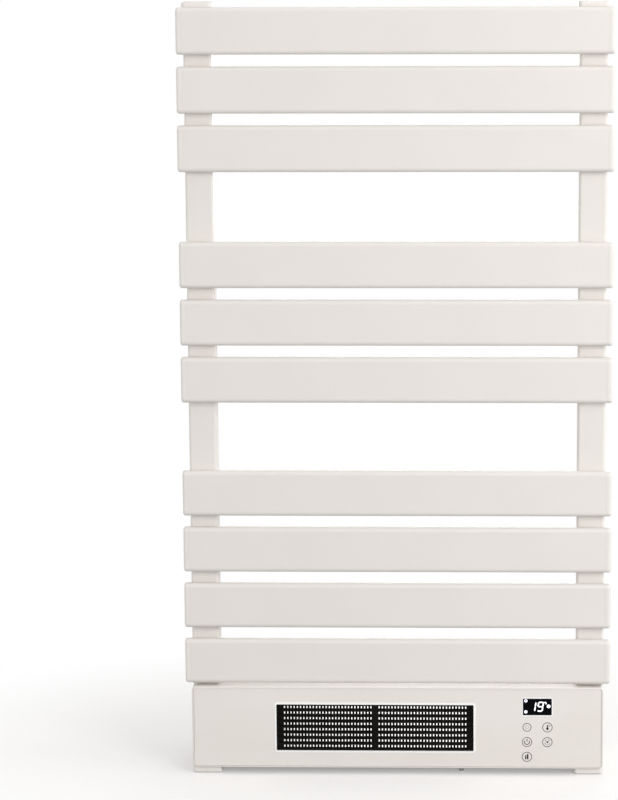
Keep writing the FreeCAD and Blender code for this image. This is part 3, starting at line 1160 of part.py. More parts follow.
nodes = {
    "left_post": [post(-1)],
    "right_post": [post(1)],
    "post_caps": [post_cap(side) for side in SIDES],
    "post_stems": [post_stem(side) for side in SIDES],
    "bar_end_caps": each_bar(bar_end_cap),
    "bar_inserts": each_bar(bar_insert),
    "bar_screws": each_bar(bar_screw),
    "heating_strips": [heating_strip(level) for level in BAR_LEVELS],
    "heating_leads": [bar_lead(level) for level in BAR_LEVELS],
    "post_harness": [harness()],
    "wall_inserts": [wall_insert(side, level) for level in WALL_INSERT_LEVELS for side in SIDES],
    "housing_sleeve": [housing()],
    "left_foot": [foot(-1)],
    "right_foot": [foot(1)],
    "frame_screws": frame_screws(),
    "front_panel": [front_panel()],
    "rear_cover": [rear_cover()],
    "housing_screws": housing_screws(),
    "outlet_bezel": [outlet_bezel()],
    "outlet_grille": [outlet_grille()],
    "heater_frame": [heater_frame()],
    "heater_strips": heater_strips(),
    "heater_fins": heater_fins(),
    "thermal_cutout": [thermal_cutout()],
    "blower_plates": [blower_plate(side) for side in SIDES],
    "blower_scroll": [blower_scroll()],
    "blower_tongue": [blower_tongue()],
    "fan_impeller": [fan_impeller()],
    "fan_shaft": [fan_shaft()],
    "fan_bushes": fan_bushes(),
    "motor_stator": [motor_stator()],
    "motor_coil": [motor_coil()],
    "motor_rotor": [motor_rotor()],
    "motor_bracket": [motor_bracket()],
    "power_board": [power_board()],
    "power_board_parts": power_board_parts(),
    "board_standoffs": board_standoffs(),
    "board_screws": board_screws(),
    "display_board": [display_board()],
    "display_module": [display_module()],
    "display_window": [display_window()],
    "touch_pads": touch_pads(),
    "terminal_block": [terminal_block()],
    "cable_gland": [cable_gland(), gland_nut()],
    "rocker_body": [rocker_body()],
    "rocker_cap": [rocker_cap()],
    "tip_plunger": [tip_plunger()],
    "tip_spring": [tip_spring()],
    "tip_guide": [tip_guide()],
    "tip_microswitch": [microswitch()],
}
for number, bar_level in enumerate(BAR_LEVELS, start=1):
    nodes["crossbar_%02d" % number] = [crossbar(bar_level)]

os.makedirs("parts", exist_ok=True)
for name, solids in nodes.items():
    shape = solids[0]
    if len(solids) > 1:
        shape = Part.makeCompound(solids)
    shape.exportStep("parts/%s.step" % name)
print(len(nodes), "nodes; height", round(POST_TOP, 1))
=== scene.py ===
"""A freestanding towel warmer: ten coated bars on two posts over a fan heater housing.

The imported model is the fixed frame. This script gives every piece its finish, prints the key
symbols, lights the display and sets the studio. Lengths are in metres unless a comment says mm.
"""
import json
import math

import bmesh
import bpy
from mathutils import Matrix, Vector
from mathutils.bvhtree import BVHTree


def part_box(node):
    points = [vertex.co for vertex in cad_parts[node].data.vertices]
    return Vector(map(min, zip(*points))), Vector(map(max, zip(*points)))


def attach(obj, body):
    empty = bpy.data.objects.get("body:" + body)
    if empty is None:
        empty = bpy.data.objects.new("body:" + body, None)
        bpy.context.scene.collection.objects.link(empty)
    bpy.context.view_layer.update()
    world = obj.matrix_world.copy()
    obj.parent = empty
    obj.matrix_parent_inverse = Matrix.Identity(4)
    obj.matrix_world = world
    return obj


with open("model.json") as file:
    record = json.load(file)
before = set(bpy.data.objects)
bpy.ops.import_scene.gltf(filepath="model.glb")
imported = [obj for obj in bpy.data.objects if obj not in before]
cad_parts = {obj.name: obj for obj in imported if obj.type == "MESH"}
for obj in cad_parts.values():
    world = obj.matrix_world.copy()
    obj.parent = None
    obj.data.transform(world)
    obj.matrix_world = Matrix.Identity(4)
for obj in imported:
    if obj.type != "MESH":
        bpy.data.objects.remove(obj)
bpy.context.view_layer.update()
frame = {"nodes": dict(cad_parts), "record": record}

MM = 0.001
FULL_TURN = 2 * math.pi

# Camera, as the photograph was taken: a long lens, a little above the top bar
PHOTO_WIDTH_PX = 618
PHOTO_HEIGHT_PX = 800
FOCAL_PX = 2925.28
AXIS_PX = 400.0  # the lens axis, from the photograph's left edge
CAMERA_SPOT = Vector((100.08, -3396.95, 1010.37)) * MM
CAMERA_YAW = math.radians(-1.6432)
CAMERA_PITCH = math.radians(9.5402)
CAMERA_ROLL = math.radians(0.2002)
SENSOR_MM = 36.0
FARTHEST_SEEN = 100.0

# Studio floor and air
FLOOR_RADIUS = 9.0
FLOOR_SIDES = 96
FLOOR_WHITE = (0.71, 0.70, 0.69, 1.0)
FLOOR_BOUNCE = (0.45, 0.45, 0.45, 1.0)  # what the floor throws back on the object
FLOOR_LIFT = (0.285, 0.28, 0.28, 1.0)  # a glow that keeps the shadow pale
FADE_START = 0.27
FADE_END = 0.75
FADE_CENTRE = (0.0, 0.06, 0.0)
FADE_STRETCH = (1.0, 1.4, 0.0)  # the floor whitens sooner behind the object than beside it
WORLD_STRENGTH = 0.50
WHITE = (1.0, 1.0, 1.0, 1.0)
UNLIT = (0.0, 0.0, 0.0, 1.0)

# Softboxes: where each stands, the point it faces, its width and height, and its watts
RAIL_MIDDLE = (0.0, 0.0, 0.5)
SOFTBOXES = {
    "key_softbox": ((3.2, -4.3, 2.6), RAIL_MIDDLE, 2.6, 2.6, 113.0),
    "side_softbox": ((4.5, -0.6, 1.6), RAIL_MIDDLE, 2.4, 2.4, 44.0),
    "left_fill": ((-3.6, -1.0, 0.9), RAIL_MIDDLE, 2.0, 1.6, 25.0),
    "back_fill": ((0.6, 3.8, 0.9), RAIL_MIDDLE, 2.2, 1.4, 55.0),
    "near_strip": ((0.8, -0.5, 0.75), (0.1, 0.0, 0.6), 0.25, 1.3, 1.45),
    "top_softbox": ((0.2, 0.05, 3.0), RAIL_MIDDLE, 1.4, 1.4, 9.0),
    "front_fill": ((0.3, -4.6, 1.0), RAIL_MIDDLE, 1.6, 1.6, 30.0),
}

# Paint and plastic colours
COAT_COLOUR = (0.792, 0.753, 0.717, 1.0)
COAT_SHADE = (0.753, 0.709, 0.669, 1.0)
CAP_COLOUR = (0.802, 0.764, 0.728, 1.0)
PANEL_COLOUR = (0.83, 0.785, 0.745, 1.0)
PANEL_SHADE = (0.81, 0.76, 0.72, 1.0)
FOOT_COLOUR = (0.87, 0.84, 0.80, 1.0)
FOOT_SHADE = (0.85, 0.81, 0.77, 1.0)
TRIM_WHITE = (0.97, 0.97, 0.96, 1.0)
TRIM_SHADE = (0.94, 0.94, 0.93, 1.0)
BLACK = (0.0045, 0.0035, 0.003, 1.0)
BLACK_SHADE = (0.008, 0.007, 0.006, 1.0)
INSULATOR_BLACK = (0.022, 0.022, 0.024, 1.0)
INSULATOR_SHADE = (0.045, 0.043, 0.042, 1.0)
PLUNGER_GREY = (0.56, 0.54, 0.52, 1.0)
PLUNGER_SHADE = (0.50, 0.48, 0.46, 1.0)
GLASS_BLACK = (0.001, 0.001, 0.002, 1.0)
GLASS_WIPED = (0.003, 0.003, 0.004, 1.0)
RUBBER_BLACK = (0.022, 0.022, 0.024, 1.0)
RUBBER_TALC = (0.075, 0.073, 0.07, 1.0)
LACQUER_GREEN = (0.012, 0.12, 0.045, 1.0)
TRACK_GREEN = (0.05, 0.27, 0.10, 1.0)

# Metal colours
ALUMINIUM_CLEAN = (0.86, 0.86, 0.85, 1.0)
ALUMINIUM_DULL = (0.74, 0.73, 0.71, 1.0)
# black that stands for the shade inside the heater fins
FOIL_PAINTED_SHADE = (0.012, 0.011, 0.010, 1.0)
FOIL_BARE = (0.35, 0.345, 0.34, 1.0)
ZINC_BLUE = (0.60, 0.63, 0.68, 1.0)
ZINC_STRAW = (0.70, 0.66, 0.56, 1.0)
SPANGLE_DARK = (0.46, 0.48, 0.50, 1.0)
SPANGLE_PALE = (0.66, 0.67, 0.68, 1.0)
CORE_VARNISH = (0.09, 0.09, 0.10, 1.0)
CORE_STEEL = (0.30, 0.30, 0.32, 1.0)
COPPER_DARK = (0.62, 0.25, 0.11, 1.0)
COPPER_BRIGHT = (0.80, 0.42, 0.22, 1.0)
BRONZE_PORE = (0.40, 0.25, 0.10, 1.0)
BRONZE_BRIGHT = (0.66, 0.46, 0.22, 1.0)

# Ink and lamp colours
KEY_INK = (0.02, 0.018, 0.017, 1.0)
KEY_INK_THIN = (0.06, 0.055, 0.05, 1.0)
ROCKER_INK = (0.82, 0.82, 0.80, 1.0)
ROCKER_INK_THIN = (0.66, 0.66, 0.64, 1.0)
DIFFUSER_GREY = (0.6, 0.6, 0.62, 1.0)
DIGIT_LIGHT = (1.0, 1.0, 1.0, 1.0)
DIGIT_LIGHT_EDGE = (0.93, 0.94, 1.0, 1.0)
LAMP_LIGHT = (0.86, 0.84, 0.98, 1.0)
LAMP_LIGHT_EDGE = (0.62, 0.60, 0.86, 1.0)

# Heater fins behind the outlet
FIN_ROWS = 8
FIN_ROW_GAP = 2.2 * MM
FIN_FOLD = 0.55 * MM
FIN_EDGE_ROLL = 0.25

WAVE_RIDGE = math.pi / 10  # between the ridges of a wave texture whose scale is 1


class Wire:
    """One output of a shader node. Arithmetic on it adds Math nodes beside it."""

    def __init__(self, board, socket):
        self.board = board
        self.socket = socket

    def maths(self, operation, *values):
        return self.board.node("ShaderNodeMath", {"operation": operation}, dict(enumerate(values)))

    def __add__(self, other):
        return self.maths("ADD", self, other)

    def __sub__(self, other):
        return self.maths("SUBTRACT", self, other)

    def __rsub__(self, other):
        return self.maths("SUBTRACT", other, self)

    def __mul__(self, other):
        return self.maths("MULTIPLY", self, other)

    def __gt__(self, other):
        return self.maths("GREATER_THAN", self, other)

    __radd__ = __add__
    __rmul__ = __mul__


class Board:
    """A node tree being wired up."""

    def __init__(self, tree):
        self.tree = tree

    def node(self, kind, settings=None, sockets=None, output=0):
        """Adds a node: its settings first, then a value or a wire for each socket."""
        made = self.tree.nodes.new(kind)
        for name, value in (settings or {}).items():
            setattr(made, name, value)
        self.plug(made, sockets or {})
        return Wire(self, made.outputs[output])

    def plug(self, node, sockets):
        """Gives each named socket of a node its wire or its value."""
        for name, value in sockets.items():
            if isinstance(value, Wire):
                self.tree.links.new(value.socket, node.inputs[name])
            else:
                node.inputs[name].default_value = value

    def place(self, stretch=(1.0, 1.0, 1.0)):
        """The point on the object, in metres, squeezed along an axis where stretch is above 1."""
        here = self.node("ShaderNodeTexCoord", output="Object")
        sockets = {"Vector": here, "Scale": stretch}
        return self.node("ShaderNodeMapping", {"vector_type": "POINT"}, sockets)

    def noise(self, size, detail, stretch=(1.0, 1.0, 1.0)):
        """Soft grain from 0 to 1 whose lumps are about size across."""
        sockets = {"Vector": self.place(stretch), "Scale": 1 / size, "Detail": detail}
        return self.node("ShaderNodeTexNoise", {}, sockets)

    def cells(self, size, output="Distance"):
        """Cells about size across: how far each point is from its cell's middle, or a colour each."""
        sockets = {"Vector": self.place(), "Scale": 1 / size}
        return self.node("ShaderNodeTexVoronoi", {"feature": "F1"}, sockets, output)

    def bands(self, pitch, direction="X", distortion=0.0):
        """Parallel ridges, one to each pitch."""
        settings = {"bands_direction": direction, "wave_profile": "SIN"}
        sockets = {"Vector": self.place(), "Scale": WAVE_RIDGE / pitch, "Distortion": distortion}
        return self.node("ShaderNodeTexWave", settings, sockets, "Fac")

    def part_of(self, vector, axis):
        return self.node("ShaderNodeSeparateXYZ", {}, {"Vector": vector}, axis)

    def red_of(self, colour):
        return self.node("ShaderNodeSeparateColor", {}, {"Color": colour}, "Red")

    def facing_front(self):
        """1 on faces that look straight to the front, 0 on the rest."""
        normal = self.node("ShaderNodeTexCoord", output="Normal")
        return self.ramp(0 - self.part_of(normal, "Y"), 0.6, 0.9)

    def leaning_up(self, rise):
        """The surface's direction, leaning up by a rise of one or less."""
        normal = self.node("ShaderNodeNewGeometry", output="Normal")
        ends = {0: normal, 1: (0.0, 0.0, rise)}
        leaning = self.node("ShaderNodeVectorMath", {"operation": "ADD"}, ends)
        return self.node("ShaderNodeVectorMath", {"operation": "NORMALIZE"}, {0: leaning})

    def ramp(self, value, low, high):
        """0 where value is below low, 1 above high, smooth between."""
        settings = {"interpolation_type": "SMOOTHSTEP"}
        sockets = {"Value": value, "From Min": low, "From Max": high}
        return self.node("ShaderNodeMapRange", settings, sockets)

    def blend(self, first, second, share):
        """The first colour where share is 0, the second where it is 1."""
        return self.node("ShaderNodeMix", {"data_type": "RGBA"}, {0: share, 6: first, 7: second}, 2)

    def bump(self, height, depth, strength=1.0):
        """A surface direction tilted by a height from 0 to 1 that stands for the depth."""
        sockets = {"Height": height, "Distance": depth, "Strength": strength}
        return self.node("ShaderNodeBump", {}, sockets)


class Finish(Board):
    """A material with one principled surface."""

    def __init__(self, name):
        self.material = bpy.data.materials.new(name)
        self.material.use_nodes = True
        super().__init__(self.material.node_tree)
        self.surface = self.tree.nodes["Principled BSDF"]

    def done(self, **sockets):
        """Sets the surface's sockets, whose names are written with _ for a space."""
        self.plug(self.surface, {name.replace("_", " "): value for name, value in sockets.items()})
        return self.material


def powder_coat(name, colour, shade):
    """Satin powder coat baked on steel: fine orange peel and a faint cloudiness."""
    coat = Finish(name)
    cloud = coat.noise(70 * MM, detail=3.0)
    peel = coat.noise(2.4 * MM, detail=2.0)
    grit = coat.noise(0.9 * MM, detail=1.0)
    tone = coat.ramp(cloud * 0.6 + grit * 0.4, 0.3, 0.8)
    return coat.done(
        Base_Color=coat.blend(colour, shade, tone * 0.5),
        Roughness=0.44 + 0.14 * peel,
        Normal=coat.bump(peel * 0.6 + grit * 0.4, depth=0.12 * MM),
        Specular_IOR_Level=0.4,
    )


def moulded_plastic(name, colour, shade, grain, roughness, shine=0.45):
    """Injection moulded plastic with a spark-eroded grain and slow flow marks."""
    plastic = Finish(name)
    flow = plastic.noise(45 * MM, detail=2.0, stretch=(0.35, 1.0, 1.0))
    pits = plastic.cells(grain)
    haze = plastic.noise(8 * MM, detail=3.0)
    return plastic.done(
        Base_Color=plastic.blend(colour, shade, plastic.ramp(flow, 0.35, 0.75)),
        Roughness=roughness + 0.12 * haze - 0.05 * pits,
        Normal=plastic.bump(pits, depth=0.04 * MM, strength=0.6),
        Specular_IOR_Level=shine,
    )


def white_trim(name):
    return moulded_plastic(name, TRIM_WHITE, TRIM_SHADE, grain=0.4 * MM, roughness=0.3)


def smoked_glass(name):
    """The display's black acrylic: polished, with the faintest wipe marks."""
    glass = Finish(name)
    wipe = glass.noise(6 * MM, detail=4.0, stretch=(0.3, 1.0, 1.0))
    return glass.done(
        Base_Color=glass.blend(GLASS_BLACK, GLASS_WIPED, wipe),
        Roughness=0.05 + 0.08 * wipe,
        Specular_IOR_Level=0.03,
    )


def rolled_aluminium(name):
    """Thin rolled strip: fine lines along the rolling and a satin sheen."""
    metal = Finish(name)
    lines = metal.noise(0.5 * MM, detail=3.0, stretch=(1.0, 1.0, 0.08))
    stain = metal.noise(14 * MM, detail=3.0)
    return metal.done(
        Base_Color=metal.blend(ALUMINIUM_CLEAN, ALUMINIUM_DULL, metal.ramp(stain, 0.4, 0.8)),
        Metallic=0.75 + 0.2 * lines,
        Roughness=0.34 + 0.16 * lines,
        Normal=metal.bump(lines, depth=0.02 * MM),
    )


def fin_foil(name):
    """Heater foil painted black as shade inside the fins, bare and bright on the front edges of its
    walls.

    The edges are rolled up a little, so that they mirror the studio above them.
    """
    foil = Finish(name)
    low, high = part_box("heater_fins")
    row_pitch = (high.z - low.z + FIN_ROW_GAP) / FIN_ROWS
    row = (foil.part_of(foil.place(), "Z") - low.z) * (1 / row_pitch)
    # front faces above each row's fold stay bare; the rest is painted black as shade inside the fins
    # and under the folds
    above_fold = row.maths("FRACT", row) > FIN_FOLD / row_pitch
    bare = foil.facing_front() * above_fold
    lines = foil.noise(0.5 * MM, detail=3.0, stretch=(1.0, 0.08, 1.0))
    return foil.done(
        Base_Color=foil.blend(FOIL_PAINTED_SHADE, FOIL_BARE, bare),
        Metallic=bare * (0.9 + 0.1 * lines),
        Roughness=0.62 - 0.5 * bare + 0.1 * lines,
        Normal=foil.leaning_up(FIN_EDGE_ROLL),
        Specular_IOR_Level=0.2,
    )


def zinc_plate(name):
    """Bright zinc over steel, with a faint blue and straw passivation."""
    zinc = Finish(name)
    tint = zinc.noise(5 * MM, detail=3.0)
    scuff = zinc.noise(0.6 * MM, detail=4.0)
    return zinc.done(
        Base_Color=zinc.blend(ZINC_BLUE, ZINC_STRAW, zinc.ramp(tint, 0.35, 0.65)),
        Metallic=0.9 + 0.1 * tint,
        Roughness=0.24 + 0.2 * scuff,
        Normal=zinc.bump(scuff, depth=0.015 * MM),
    )


def galvanised(name):
    """Hot-dipped sheet: flat spangles that differ in tone and gloss."""
    sheet = Finish(name)
    tone = sheet.red_of(sheet.cells(7 * MM, "Color"))
    frost = sheet.noise(1.2 * MM, detail=3.0)
    return sheet.done(
        Base_Color=sheet.blend(SPANGLE_DARK, SPANGLE_PALE, tone),
        Metallic=0.85 + 0.15 * frost,
        Roughness=0.3 + 0.18 * tone + 0.1 * frost,
        Normal=sheet.bump(frost, depth=0.02 * MM),
    )


def core_laminations(name):
    """Stacked electrical steel: thin plates with dark varnish between them."""
    core = Finish(name)
    plates = core.bands(0.5 * MM)
    bloom = core.noise(4 * MM, detail=3.0)
    return core.done(
        Base_Color=core.blend(CORE_VARNISH, CORE_STEEL, plates * bloom),
        Metallic=0.7 + 0.3 * plates,
        Roughness=0.5 - 0.15 * plates,
        Normal=core.bump(plates, depth=0.06 * MM),
    )


def enamelled_copper(name):
    """Wound magnet wire under clear enamel: one ridge to each turn."""
    coil = Finish(name)
    turns = coil.bands(0.45 * MM, distortion=0.4)
    tarnish = coil.noise(5 * MM, detail=3.0)
    return coil.done(
        Base_Color=coil.blend(COPPER_DARK, COPPER_BRIGHT, turns * 0.6 + tarnish * 0.4),
        Metallic=0.8 + 0.2 * turns,
        Roughness=0.3 + 0.15 * tarnish,
        Coat_Weight=0.5,
        Normal=coil.bump(turns, depth=0.12 * MM),
    )


def sintered_bronze(name):
    """Oil-filled bearing bronze, open pored."""
    bronze = Finish(name)
    pores = bronze.cells(0.35 * MM)
    oil = bronze.noise(3 * MM, detail=2.0)
    return bronze.done(
        Base_Color=bronze.blend(BRONZE_PORE, BRONZE_BRIGHT, bronze.ramp(pores, 0.1, 0.6)),
        Metallic=0.75 + 0.2 * pores,
        Roughness=0.52 - 0.22 * oil,
        Normal=bronze.bump(pores, depth=0.03 * MM),
    )


def silicone_rubber(name):
    """Black lead and pad rubber, dusted with talc."""
    rubber = Finish(name)
    talc = rubber.noise(3 * MM, detail=4.0)
    skin = rubber.noise(0.4 * MM, detail=2.0)
    return rubber.done(
        Base_Color=rubber.blend(RUBBER_BLACK, RUBBER_TALC, rubber.ramp(talc, 0.5, 0.85)),
        Roughness=0.6 + 0.2 * talc,
        Normal=rubber.bump(skin, depth=0.03 * MM),
    )


def solder_mask(name):
    """Green board lacquer over copper tracks that stand slightly proud."""
    board = Finish(name)
    lengthways = board.bands(2.6 * MM, "X")
    crossways = board.bands(2.6 * MM, "Y")
    which = board.red_of(board.cells(11 * MM, "Color")) > 0.5
    tracks = board.ramp(which * lengthways + (1 - which) * crossways, 0.62, 0.72)
    weave = board.noise(0.7 * MM, detail=1.0)
    return board.done(
        Base_Color=board.blend(LACQUER_GREEN, TRACK_GREEN, tracks),
        Roughness=0.3 + 0.1 * weave,
        Coat_Weight=0.3 + 0.2 * tracks,
        Normal=board.bump(tracks + weave * 0.15, depth=0.035 * MM),
    )


def printed_ink(name, colour, thin):
    """Screen printed legend: a little thinner here and there."""
    ink = Finish(name)
    cover = ink.noise(0.5 * MM, detail=2.0)
    return ink.done(
        Base_Color=ink.blend(colour, thin, ink.ramp(cover, 0.5, 0.8)),
        Roughness=0.5 + 0.2 * cover,
        Normal=ink.bump(cover, depth=0.01 * MM),
        Specular_IOR_Level=0.15,
    )


def lit_segment(name, light, edge):
    """A display segment: white light with a faint cool fall-off across it."""
    lamp = Finish(name)
    patches = lamp.noise(1.5 * MM, detail=2.0)
    return lamp.done(
        Base_Color=DIFFUSER_GREY,
        Emission_Color=lamp.blend(light, edge, lamp.ramp(patches, 0.4, 0.8)),
        Emission_Strength=1.0,
        Roughness=0.3 + 0.1 * patches,
    )


def finishes_by_slot():
    """The finish of each material slot in the record."""
    return {
        "rail_coat": powder_coat("cream powder coat, rails", COAT_COLOUR, COAT_SHADE),
        "housing_coat": powder_coat("cream powder coat, housing", COAT_COLOUR, COAT_SHADE),
        "cap_plastic": moulded_plastic(
            "cream cap plastic", CAP_COLOUR, COAT_COLOUR, grain=0.5 * MM, roughness=0.42
        ),
        "panel_plastic": moulded_plastic(
            "cream panel plastic", PANEL_COLOUR, PANEL_SHADE, grain=0.4 * MM, roughness=0.34
        ),
        "foot_plastic": moulded_plastic(
            "cream foot plastic", FOOT_COLOUR, FOOT_SHADE, grain=0.6 * MM, roughness=0.5
        ),
        "black_plastic": moulded_plastic(
            "black grille plastic", BLACK, BLACK_SHADE, grain=0.4 * MM, roughness=0.3, shine=0.06
        ),
        "dark_insulator": moulded_plastic(
            "dark insulator", INSULATOR_BLACK, INSULATOR_SHADE, grain=0.7 * MM, roughness=0.55
        ),
        "plunger_plastic": moulded_plastic(
            "grey plunger plastic", PLUNGER_GREY, PLUNGER_SHADE, grain=0.5 * MM, roughness=0.45
        ),
        "display_glass": smoked_glass("smoked display glass"),
        "fin_aluminium": rolled_aluminium("rolled aluminium strip"),
        "zinc_steel": zinc_plate("bright zinc plate"),
        "galvanised_sheet": galvanised("galvanised sheet"),
        "core_steel": core_laminations("core laminations"),
        "copper": enamelled_copper("enamelled copper wire"),
        "bronze": sintered_bronze("sintered bronze"),
        "wire_rubber": silicone_rubber("black silicone rubber"),
        "circuit_board": solder_mask("green board lacquer"),
    }


def finishes_by_node():
    """Pieces whose finish differs from the rest of their slot."""
    return {
        # the fins are painted black as shade away from their bare front edges
        "heater_fins": fin_foil("fin foil painted black as shade"),
        # the strips are painted black as the shade between the fin rows
        "heater_strips": silicone_rubber("black film painted as shade between fin rows"),
        "outlet_bezel": white_trim("white outlet trim"),
    }


def dress_nodes():
    """Gives each solid of the frame its finish."""
    by_slot = finishes_by_slot()
    by_node = finishes_by_node()
    for subpart in frame["record"]["subparts"]:
        node = subpart["node"]
        mesh = frame["nodes"][node].data
        mesh.materials.clear()
        mesh.materials.append(by_node.get(node, by_slot[subpart["material_slot"]]))


def arc(centre, radius, angles):
    """A point at each angle round a centre."""
    return [Vector(centre) + Vector((math.cos(angle), math.sin(angle))) * radius for angle in angles]


def against(point, normal):
    """The place of a mark that stands upright on a wall, at a point, facing along the normal."""
    inward = -Vector(normal)
    across = inward.cross(Vector((0, 0, 1))).normalized()
    turn = Matrix((across, inward, across.cross(inward))).transposed()
    return Matrix.Translation(point) @ turn.to_4x4()


def front_wall(depth):
    """The place of marks on a wall at a depth, that faces the front."""
    return against((0, depth, 0), (0, -1, 0))


class Print:
    """Flat marks drawn in the plane of a wall, x across and z up, then given a thickness."""

    def __init__(self, name):
        self.name = name
        self.sheet = bmesh.new()

    def outline(self, points):
        """A patch with one line round it."""
        self.sheet.faces.new([self.sheet.verts.new((x, 0.0, z)) for x, z in points])

    def band(self, inner, outer, closed):
        """The strip between two lines of as many points."""
        pairs = [[self.sheet.verts.new((x, 0.0, z)) for x, z in pair] for pair in zip(inner, outer)]
        following = pairs[1:] + pairs[:1] if closed else pairs[1:]
        for (near, far), (next_near, next_far) in zip(pairs, following):
            self.sheet.faces.new((near, far, next_far, next_near))

    def ring(self, centre, inner, outer, start=0.0, sweep=FULL_TURN, steps=48):
        """An arc band, anticlockwise from start as seen from the front."""
        closed = sweep >= FULL_TURN
        angles = [start + sweep * step / steps for step in range(steps if closed else steps + 1)]
        self.band(arc(centre, inner, angles), arc(centre, outer, angles), closed)

    def disc(self, centre, radius, steps=32):
        self.outline(arc(centre, radius, [FULL_TURN * step / steps for step in range(steps)]))

    def rim(self, low, high, radius, width, steps=6):
        """A band round a rectangle with round corners, from its edge outwards."""
        inner = []
        outer = []
        corners = ((high.x, high.y), (low.x, high.y), (low.x, low.y), (high.x, low.y))
        for turn, (x, z) in enumerate(corners):
            towards_middle = Vector((-1 if x == high.x else 1, -1 if z == high.y else 1)) * radius
            centre = Vector((x, z)) + towards_middle
            angles = [FULL_TURN / 4 * (turn + step / steps) for step in range(steps + 1)]
            inner += arc(centre, radius, angles)
            outer += arc(centre, radius + width, angles)
        self.band(inner, outer, True)

    def hand(self, centre, radius, tip, width, steps=32):
        """A disc with a round-ended arm out to the tip, in one outline."""
        arm = Vector(tip) - Vector(centre)
        heading = math.atan2(arm.y, arm.x)
        neck = math.asin(width / 2 / radius)
        sweep = FULL_TURN - 2 * neck
        round_disc = [heading + neck + sweep * step / steps for step in range(steps + 1)]
        round_tip = [heading + math.pi * (step / steps - 0.5) for step in range(steps + 1)]
        self.outline(arc(centre, radius, round_disc) + arc(tip, width / 2, round_tip))

    def stroke(self, start, end, width, steps=8):
        """A line with round ends."""
        along = Vector(end) - Vector(start)
        heading = math.atan2(along.y, along.x)
        round_end = [heading + math.pi * (step / steps - 0.5) for step in range(steps + 1)]
        round_start = [angle + math.pi for angle in round_end]
        self.outline(arc(end, width / 2, round_end) + arc(start, width / 2, round_start))

    def segment(self, start, end, width):
        """A display segment: a bar with pointed ends."""
        start = Vector(start)
        end = Vector(end)
        along = (end - start).normalized() * width / 2
        aside = Vector((-along.y, along.x))
        lower = [start, start + along - aside, end - along - aside]
        upper = [end, end - along + aside, start + along + aside]
        self.outline(lower + upper)

    def press(self, wall, thickness, body, slot, material):
        """Stands the marks on a wall and makes them a piece."""
        faces = self.sheet.faces[:]
        bmesh.ops.recalc_face_normals(self.sheet, faces=faces)
        raised = bmesh.ops.extrude_face_region(self.sheet, geom=faces, use_keep_orig=True)
        lifted = [part for part in raised["geom"] if isinstance(part, bmesh.types.BMVert)]
        bmesh.ops.translate(self.sheet, verts=lifted, vec=(0.0, -thickness, 0.0))
        bmesh.ops.transform(self.sheet, matrix=wall, verts=self.sheet.verts[:])
        bmesh.ops.recalc_face_normals(self.sheet, faces=self.sheet.faces[:])
        mesh = bpy.data.meshes.new(self.name)
        self.sheet.to_mesh(mesh)
        self.sheet.free()
        mesh.materials.append(material)
        piece = bpy.data.objects.new(self.name, mesh)
        bpy.context.scene.collection.objects.link(piece)
        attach(piece, body)


# Display marks, in mm from the window's upper left corner, across and down
DIGIT_TOP = 4.5
DIGIT_HEIGHT = 10.6
DIGIT_WIDTH = 5.6
DIGIT_STROKE = 1.5
DIGIT_LEAN = math.tan(math.radians(9.0))
ONES_LEFT = 17.0
TENS_LEFT = 8.2
DEGREE_SPOT = (26.2, 5.6)
DEGREE_HOLE_RADIUS = 0.75
DEGREE_RADIUS = 1.75
DEGREE_START = math.radians(-60)
DEGREE_SWEEP = math.radians(230)
DEGREE_STEPS = 24
DOT_SPOT = (30.3, 9.3)
DOT_RADIUS = 2.1
LAMP_ACROSS = 3.5
LAMP_DOWN = (2.7, 16.1)
LAMP_RADIUS = 1.9
LAMP_HOLE_RADIUS = 0.8
RIM_WIDTH = 1.1
RIM_RADIUS = 0.6
MARK_THICKNESS = 0.05 * MM
RIM_THICKNESS = 0.25 * MM

# Ends of a digit's segments, as shares of its width and height from its lower left corner
SEGMENT_ENDS = {
    "top": ((0, 1), (1, 1)),
    "upper right": ((1, 1), (1, 0.5)),
    "lower right": ((1, 0.5), (1, 0)),
    "bottom": ((0, 0), (1, 0)),
    "lower left": ((0, 0), (0, 0.5)),
    "upper left": ((0, 0.5), (0, 1)),
    "middle": ((0, 0.5), (1, 0.5)),
}
LIT_IN_ONE = ("upper right", "lower right")
LIT_IN_NINE = ("top", "upper right", "lower right", "bottom", "upper left", "middle")


